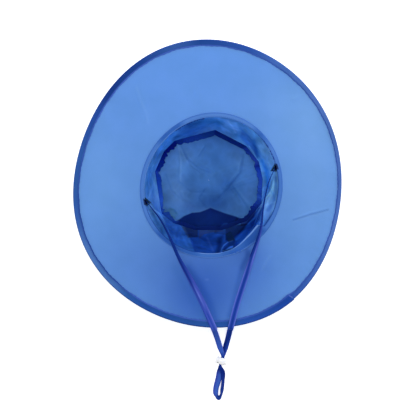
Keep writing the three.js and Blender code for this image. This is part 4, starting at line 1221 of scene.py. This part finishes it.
def crown_top():
    angles = np.arange(TOP_COLUMNS) * 360 / TOP_COLUMNS
    rim = seam_point(angles, -GAP, 0)
    centre = np.array([*SEAM_CENTRE, 0])
    shares = np.linspace(1, TOP_INNERMOST, TOP_RINGS)[:, None, None]
    grid = centre + (rim - centre) * shares
    edge = np.clip((1 - shares[..., 0]) / TOP_FLAT_EDGE, 0, 1)
    facets = crumple_at(grid, TOP_FACETS["size"], TOP_FACETS["seed"]) * 0.5 + 0.5
    bumps = noise_at(grid, TOP_BUMPS["size"], TOP_BUMPS["seed"]) + TOP_BUMPS["rise"]
    crumple = facets * TOP_FACETS["height"] + bumps * TOP_BUMPS["height"]
    relief = np.clip(crumple, 0, None) + np.clip(crease_relief(grid, TOP_CREASES), 0, None)
    grid[..., 2] = CLOTH / 2 + TOP_LIFT + relief * edge
    # Painted light and shade: patches, spots, lines, and how the facets catch light
    tint = tinted(grid, TOP_PAINTED_SHADE_PATCHES, TOP_PAINTED_LIGHT_SPOTS, TOP_PAINTED_LIGHT_LINES)
    tint = tint * painted_facet_light(grid, TOP_PAINTED_SHEEN["size"], TOP_PAINTED_SHEEN["strength"], TOP_PAINTED_SHEEN["seed"])
    return cloth_shell("crown_top_cloth", grid, CLOTH, True, tint)


# Seam strip: angle seen from the seam's centre, width, how far it is crinkled, and tint of painted light and shade
STRIP_ROUND = (
    (0, 0.0042, 1.2, 1.9, 1.5, 1.05), (12, 0.0040, 1.2, 1.0, 1.1, 1.0), (16, 0.0060, 0.8, 0.3, 0.4, 0.6),
    (20, 0.0046, 1.2, 2.4, 1.3, 0.95), (30, 0.0040, 1.0, 1.5, 1.2, 0.9), (40, 0.0046, 0.6, 0.8, 0.8, 0.7),
    (44, 0.0052, 0.1, 0.10, 0.35, 0.42), (82, 0.0056, 0.1, 0.08, 0.35, 0.42), (84, 0.0074, 0.1, 0.35, 0.75, 0.55),
    (105, 0.0072, 0.6, 0.6, 0.9, 0.75), (120, 0.0072, 0.8, 0.9, 1.0, 0.85), (129, 0.0062, 0.7, 0.25, 0.65, 0.65),
    (132, 0.0040, 1.8, 0.10, 0.22, 0.5), (146, 0.0036, 2.0, 0.10, 0.22, 0.5), (150, 0.0056, 1.8, 0.08, 0.25, 0.55),
    (169, 0.0056, 0.6, 0.08, 0.45, 0.6), (172, 0.0038, 0.3, 1.5, 1.2, 1.0), (175, 0.0058, 0.4, 0.5, 0.9, 0.9),
    (188, 0.0054, 0.5, 0.9, 1.3, 1.0), (206, 0.0042, 0.6, 2.4, 2.3, 1.35), (214, 0.0044, 2.0, 1.6, 1.7, 1.05),
    (231, 0.0044, 2.2, 0.8, 1.0, 0.75), (236, 0.0040, 0.4, 0.25, 0.35, 0.4), (300, 0.0036, 0.5, 0.25, 0.35, 0.36),
    (312, 0.0052, 0.9, 0.14, 0.25, 0.32), (325, 0.0056, 1.2, 0.3, 0.45, 0.5), (330, 0.0064, 2.2, 0.5, 0.6, 0.7),
    (338, 0.0060, 1.8, 1.1, 1.2, 0.9), (341, 0.0038, 1.4, 2.6, 2.2, 1.3), (344, 0.0058, 1.4, 1.0, 1.1, 0.8),
    (352, 0.0044, 1.4, 2.0, 1.6, 1.1), (360, 0.0042, 1.2, 1.9, 1.5, 1.05),
)
STRIP_OUTSET = 0.0012  # its outer edge, beyond the seam, where it meets the wall
STRIP_RISE = 0.0016  # of its inner edge
STRIP_STEPS = 9
STRIP_EDGE = -0.004  # from the seam, the line along which its crinkle is read
# Size of its crinkles, seed, and how far they move its inner edge in and up; steady is the part that roughness spares
STRIP_FINE = {"size": 0.004, "seed": 4.4, "inset": 0.0026, "rise": 0.0030}
STRIP_SLOW = {"size": 0.013, "seed": 8.8, "inset": 0.0010, "steady": 0.0004, "rise": 0.0010}


def crown_seam():
    angles = np.arange(STRIP_COLUMNS) * 360 / STRIP_COLUMNS
    shares = np.linspace(0, 1, STRIP_STEPS)[:, None]
    low = TOP_THICKNESS + GAP + CAD_CLOTH / 2
    width, rough, *shade = table_round(STRIP_ROUND, angles)
    flat = seam_point(angles, STRIP_EDGE, 0)
    fine = noise_at(flat, STRIP_FINE["size"], STRIP_FINE["seed"])
    slow = noise_at(flat, STRIP_SLOW["size"], STRIP_SLOW["seed"])
    wander = (fine * STRIP_FINE["inset"] + slow * STRIP_SLOW["inset"]) * rough
    inset = shares * (width + wander + slow * STRIP_SLOW["steady"]) - STRIP_OUTSET * (1 - shares)
    crinkle = np.abs(fine) * STRIP_FINE["rise"] * rough + np.abs(slow) * STRIP_SLOW["rise"]
    lift = shares * STRIP_RISE + crinkle * shares
    rows = seam_point(np.broadcast_to(angles, inset.shape), -inset, low + lift)
    tint = np.broadcast_to(np.stack(shade, -1), rows.shape)
    return cloth_shell("crown_seam_strip", rows, CLOTH, True, tint)


# Flap of the wall's closing seam

# Painted shade over the whole flap, and a lighter, bluer painted patch on its lower part: outline in pixels, soft
# edge, colour
FLAP_PAINTED_SHADE_PATCHES = (
    (((205, 215), (250, 215), (250, 265), (205, 265)), 1, (0.10, 0.15, 0.26)),
    (((219, 256), (221.5, 249), (224, 245.5), (228, 242.3), (232, 240.8), (242, 240), (242, 257)), 1,
     (0.75, 1.3, 2.1)),
)
# Painted highlight along the flap's edge, and a painted shade line: line in pixels, half width in pixels, colour
FLAP_PAINTED_LIGHT_LINES = (
    (((226, 243.6), (229, 242), (232.5, 240.8)), 0.6, (5.0, 2.6, 1.7)),
    (((224.6, 246), (225, 250), (226.5, 253.5)), 0.7, (0.3, 0.35, 0.5)),
)
FLAP_GRID = (70, 24)  # places down it and across it
FLAP_BUMPS = {"size": 0.006, "seed": 6.1, "height": 0.0006}
# The zigzag down the flap: its rows of the wall, and its two sides as shares of the flap's width
FLAP_STITCH = {"count": 15, "rows": (0.4, 2.4), "sides": (0.85, 0.3), "thread": 0.0006, "tint": (0.5, 0.9, 1.2)}
# Its loose start on the tape and the brim beside it: angle, share of the tape's width
LOOSE_STITCHES = (
    (284.0, 0.35), (286.5, 0.9), (286.8, 0.3), (289.5, 1.0), (290.2, 0.4), (292.5, 1.1), (294.0, 0.6), (296.0, 0.95),
)
LOOSE_STITCH_HEIGHT = 0.0013


def flap_point(share, row):
    table = np.array(FLAP_ROWS)
    left = np.interp(row, table[:, 0], table[:, 1])
    right = np.interp(row, table[:, 0], table[:, 2])
    angle = left + (right - left) * share
    return wall_point(angle, row), -outwards_at(angle)


def flap():
    rows = np.linspace(FLAP_ROWS[0][0], FLAP_ROWS[-1][0], FLAP_GRID[0])[:, None]
    shares = np.linspace(0, 1, FLAP_GRID[1])
    grid, inwards = flap_point(*np.broadcast_arrays(shares, rows))
    crumple = noise_at(grid, FLAP_BUMPS["size"], FLAP_BUMPS["seed"]) * FLAP_BUMPS["height"]
    grid = grid + inwards * (FLAP_STAND_OFF + crumple)[..., None]
    return cloth_shell("side_seam_flap", grid, CLOTH, False, tinted(grid, FLAP_PAINTED_SHADE_PATCHES, (), FLAP_PAINTED_LIGHT_LINES))


def flap_stitches():
    """A zigzag of thread down the flap, and its loose start on the tape and the brim beside it."""
    corners = np.arange(FLAP_STITCH["count"] + 1)
    row = np.linspace(*FLAP_STITCH["rows"], len(corners))
    side = np.array(FLAP_STITCH["sides"])[corners % 2]
    corner, inwards = flap_point(side, row)
    corner = corner + inwards * (FLAP_STAND_OFF + CLOTH)
    over = band_point(*np.transpose(LOOSE_STITCHES), LOOSE_STITCH_HEIGHT)
    middles, runs, lengths, ups = [], [], [], []
    for chain, up in ((corner, inwards), (over, np.broadcast_to(UP, over.shape))):
        step = np.diff(chain, axis=0)
        middles.append(chain[:-1] + step / 2)
        runs.append(unit(step))
        lengths.append(np.linalg.norm(step, axis=1, keepdims=True))
        ups.append(up[:-1])
    middles, runs, lengths, ups = (np.concatenate(parts) for parts in (middles, runs, lengths, ups))
    ups = unit(ups - runs * (runs * ups).sum(1, keepdims=True))
    return stitches("side_seam_stitches", middles, runs, ups, {**FLAP_STITCH, "length": lengths})


# Cord lock

LOCK_SIDES = 64
LOCK_PAINTED_SHADE_GREY = (0.14, 0.15, 0.13)
# Parts of its surface greyed with painted shade: from and to along it, and how far from its middle they start, away
# from the light
LOCK_SHADED = ((-0.0054, -0.0035, 0.0024), (0.0044, 0.0052, 0.0022))
BARREL_RIMS = {"from": 0.0012, "to": 0.0008}  # radius of its round rims
BARREL_GROOVE = {"from": (-0.0052, -0.0048), "to": (-0.0036, -0.0032), "depth": 0.0004}
BUTTON_RIM = 0.0009
BORE_RIM = 0.0001
CUTTER_REACH = 0.02  # longer than what it cuts
EDGE_ROUNDING = {"width": 0.00022, "segments": 2, "angle": 40, "sharp_angle": 35}


def plain_piece(name, points, faces):
    mesh = bpy.data.meshes.new(name)
    mesh.from_pydata(points, [], faces)
    piece = bpy.data.objects.new(name, mesh)
    bpy.context.scene.collection.objects.link(piece)
    return piece


def lathe(name, profile):
    """A round bar about X from a profile of (along, radius) that starts and ends on the axis."""
    turn = np.arange(LOCK_SIDES) * 2 * np.pi / LOCK_SIDES
    inner = profile[1:-1]
    rings = [[(x, r * math.cos(t), r * math.sin(t)) for t in turn] for x, r in inner]
    points = [p for ring in rings for p in ring] + [(profile[0][0], 0, 0), (profile[-1][0], 0, 0)]
    faces = []
    for i in range(len(inner) - 1):
        for j in range(LOCK_SIDES):
            k = (j + 1) % LOCK_SIDES
            a, b = i * LOCK_SIDES, (i + 1) * LOCK_SIDES
            faces.append((a + k, a + j, b + j, b + k))
    start, end = len(points) - 2, len(points) - 1
    top = (len(inner) - 1) * LOCK_SIDES
    for j in range(LOCK_SIDES):
        k = (j + 1) % LOCK_SIDES
        faces.append((j, k, start))
        faces.append((top + k, top + j, end))
    return plain_piece(name, points, faces)


def rounded_bar(start, end, radius, rim, steps=5):
    """A profile of a bar with round rims."""
    arc = [(1 - math.cos(a), 1 - math.sin(a)) for a in np.linspace(0, math.pi / 2, steps)]
    head = [(start + rim * x, radius - rim * y) for x, y in arc]
    tail = [(end - rim * x, radius - rim * y) for x, y in reversed(arc)]
    return [(start, 0), *head, *tail, (end, 0)]


def lock_painted_shade(points):
    """Paints shade: greys the groove and the open end's rim on the side away from the light."""
    x, y = points[:, 0], points[:, 1]
    tints = np.ones((len(points), 4), np.float32)
    for start, end, near in LOCK_SHADED:
        tints[(x > start) & (x < end) & (y < -near), :3] = LOCK_PAINTED_SHADE_GREY
    return tints


def box_cutter(start, end):
    """A box right through the lock, as high as the hole for the cord."""
    half, top = CUTTER_REACH / 2, CORD_HOLE["height"] / 2
    corners = [(x, y, z) for x in (start, end) for y in (-half, half) for z in (-top, top)]
    faces = [(0, 1, 3, 2), (4, 6, 7, 5), (0, 4, 5, 1), (2, 3, 7, 6), (0, 2, 6, 4), (1, 5, 7, 3)]
    return plain_piece("cutter", corners, faces)


def cut(piece, cutters):
    """Cuts with the cutters, rounds the edges, paints shade on the piece, turns it into place and keeps only its mesh.
    """
    for cutter in cutters:
        modifier = piece.modifiers.new("cut", "BOOLEAN")
        modifier.operation = "DIFFERENCE"
        modifier.solver = "EXACT"
        modifier.object = cutter
    bevel = piece.modifiers.new("round", "BEVEL")
    bevel.width = EDGE_ROUNDING["width"]
    bevel.segments = EDGE_ROUNDING["segments"]
    bevel.limit_method = "ANGLE"
    bevel.angle_limit = math.radians(EDGE_ROUNDING["angle"])
    graph = bpy.context.evaluated_depsgraph_get()
    mesh = bpy.data.meshes.new_from_object(piece.evaluated_get(graph))
    piece.modifiers.clear()
    piece.data = mesh
    for cutter in cutters:
        bpy.data.objects.remove(cutter)
    turn = math.radians(LOCK_TURN)
    points = np.array([v.co for v in mesh.vertices])
    attribute = mesh.color_attributes.new("tint", "FLOAT_COLOR", "POINT")
    attribute.data.foreach_set("color", lock_painted_shade(points).ravel())
    x = points[:, 0] * math.cos(turn) - points[:, 1] * math.sin(turn) + LOCK_PLACE[0]
    y = points[:, 0] * math.sin(turn) + points[:, 1] * math.cos(turn) + LOCK_PLACE[1]
    placed = np.stack([x, y, points[:, 2] + LOCK_PLACE[2]], -1)
    mesh.vertices.foreach_set("co", placed.astype(np.float32).ravel())
    mesh.polygons.foreach_set("use_smooth", np.ones(len(mesh.polygons), bool))
    mesh.set_sharp_from_angle(angle=math.radians(EDGE_ROUNDING["sharp_angle"]))
    mesh.update()
    return piece


def lock_body():
    start, end, radius = BARREL["from"], BARREL["to"], BARREL["radius"]
    collar = radius - BARREL_GROOVE["depth"]
    (a, b), (c, d) = BARREL_GROOVE["from"], BARREL_GROOVE["to"]
    left, right = (rounded_bar(start, end, radius, BARREL_RIMS[side]) for side in ("from", "to"))
    half = len(left) // 2
    profile = [*left[:half], (a, radius), (b, collar), (c, collar), (d, radius), *right[half:]]
    bore = lathe("bore", rounded_bar(BARREL["bore_from"], CUTTER_REACH, BARREL["bore"], BORE_RIM, 2))
    hole = box_cutter(CORD_HOLE["from"], CORD_HOLE["to"])
    return cut(lathe("cord_lock_barrel", profile), [bore, hole])


def lock_button():
    slot = box_cutter(CORD_HOLE["from"], BUTTON_SLOT_TO)
    profile = rounded_bar(BUTTON["from"], BUTTON["to"], BUTTON["radius"], BUTTON_RIM)
    return cut(lathe("cord_lock_press_button", profile), [slot])


def build_hat():
    strap, line = chin_strap()
    dress(strap, "strap", "strap_tape", "chin_strap")
    barrel = dress(lock_body(), "plastic", "white_plastic", "cord_lock_body")
    press = dress(lock_button(), "plastic", "white_plastic", "cord_lock_button", body="button")
    dress(brim(), "brim", "brim_cloth", "brim")
    dress(binding(), "binding", "binding_tape", "brim_binding")
    dress(binding_stitches(), "thread", "binding_tape")
    dress(lap_tacks(), "thread", "binding_tape")
    dress(rim_band(), "band", "rim_tape", "rim_band")
    dress(band_stitches(), "thread", "rim_tape")
    dress(rim_tacks(), "thread", "rim_tape")
    dress(crown_wall(), "wall", "crown_cloth", "crown_side")
    for side, slit in zip(("left", "right"), SLITS):
        dress(slit_shade_pocket(f"slit_shade_pocket_{side}", slit), "wall", "crown_cloth")
    dress(crown_top(), "top", "crown_cloth", "crown_top")
    dress(crown_seam(), "seam", "binding_tape", "crown_seam")
    dress(flap(), "wall", "crown_cloth", "side_seam")
    dress(flap_stitches(), "thread", "crown_cloth")


# Floor and light

FLOOR_SIDE = 8
FLOOR_DROP = 0.0003
FLOOR_SHADER = {
    "Base Color": (0.93, 0.93, 0.93, 1), "Roughness": 0.9, "Specular IOR Level": 0,
    "Emission Color": (1, 1, 1, 1), "Emission Strength": 0.55,
}
WORLD_LIGHT = 0.65
# A soft key light above, and a low one from behind that shines through the crown
LIGHTS = (
    {"name": "key", "place": (0.1, 0.35, 1.5), "target": (0, 0, 0.05), "size": 0.6, "watts": 10},
    {"name": "low_back", "place": (0, 0.75, 0.045), "target": (0, 0, 0.07), "size": 1.2, "height": 0.08, "watts": 10},
)


def floor():
    side = FLOOR_SIDE / 2
    points = [(x * side, y * side, -FLOOR_DROP) for x, y in ((-1, -1), (1, -1), (1, 1), (-1, 1))]
    piece = new_piece("floor", points, [(0, 1, 2, 3)])
    material, tree = new_material("floor")
    add_node(tree, "OutputMaterial", {"Surface": add_node(tree, "BsdfPrincipled", FLOOR_SHADER).outputs[0]})
    piece.data.materials.append(material)


def area_light(name, place, target, size, watts, height=None):
    """A round light, or an oblong one where it has a height."""
    data = bpy.data.lights.new(name, "AREA")
    data.energy = watts
    data.shape = "RECTANGLE" if height else "DISK"
    data.size = size
    if height:
        data.size_y = height
    lamp = bpy.data.objects.new(name, data)
    lamp.location = place
    lamp.rotation_euler = (Vector(target) - Vector(place)).to_track_quat("-Z", "Y").to_euler()
    lamp.visible_camera = False
    bpy.context.scene.collection.objects.link(lamp)


def lights():
    world = bpy.data.worlds.new("studio")
    world.use_nodes = True
    background = world.node_tree.nodes["Background"]
    background.inputs["Color"].default_value = (1, 1, 1, 1)
    background.inputs["Strength"].default_value = WORLD_LIGHT
    bpy.context.scene.world = world
    for light in LIGHTS:
        area_light(**light)
    bpy.context.scene.view_settings.view_transform = "Standard"


make_camera()
build_hat()
floor()
lights()
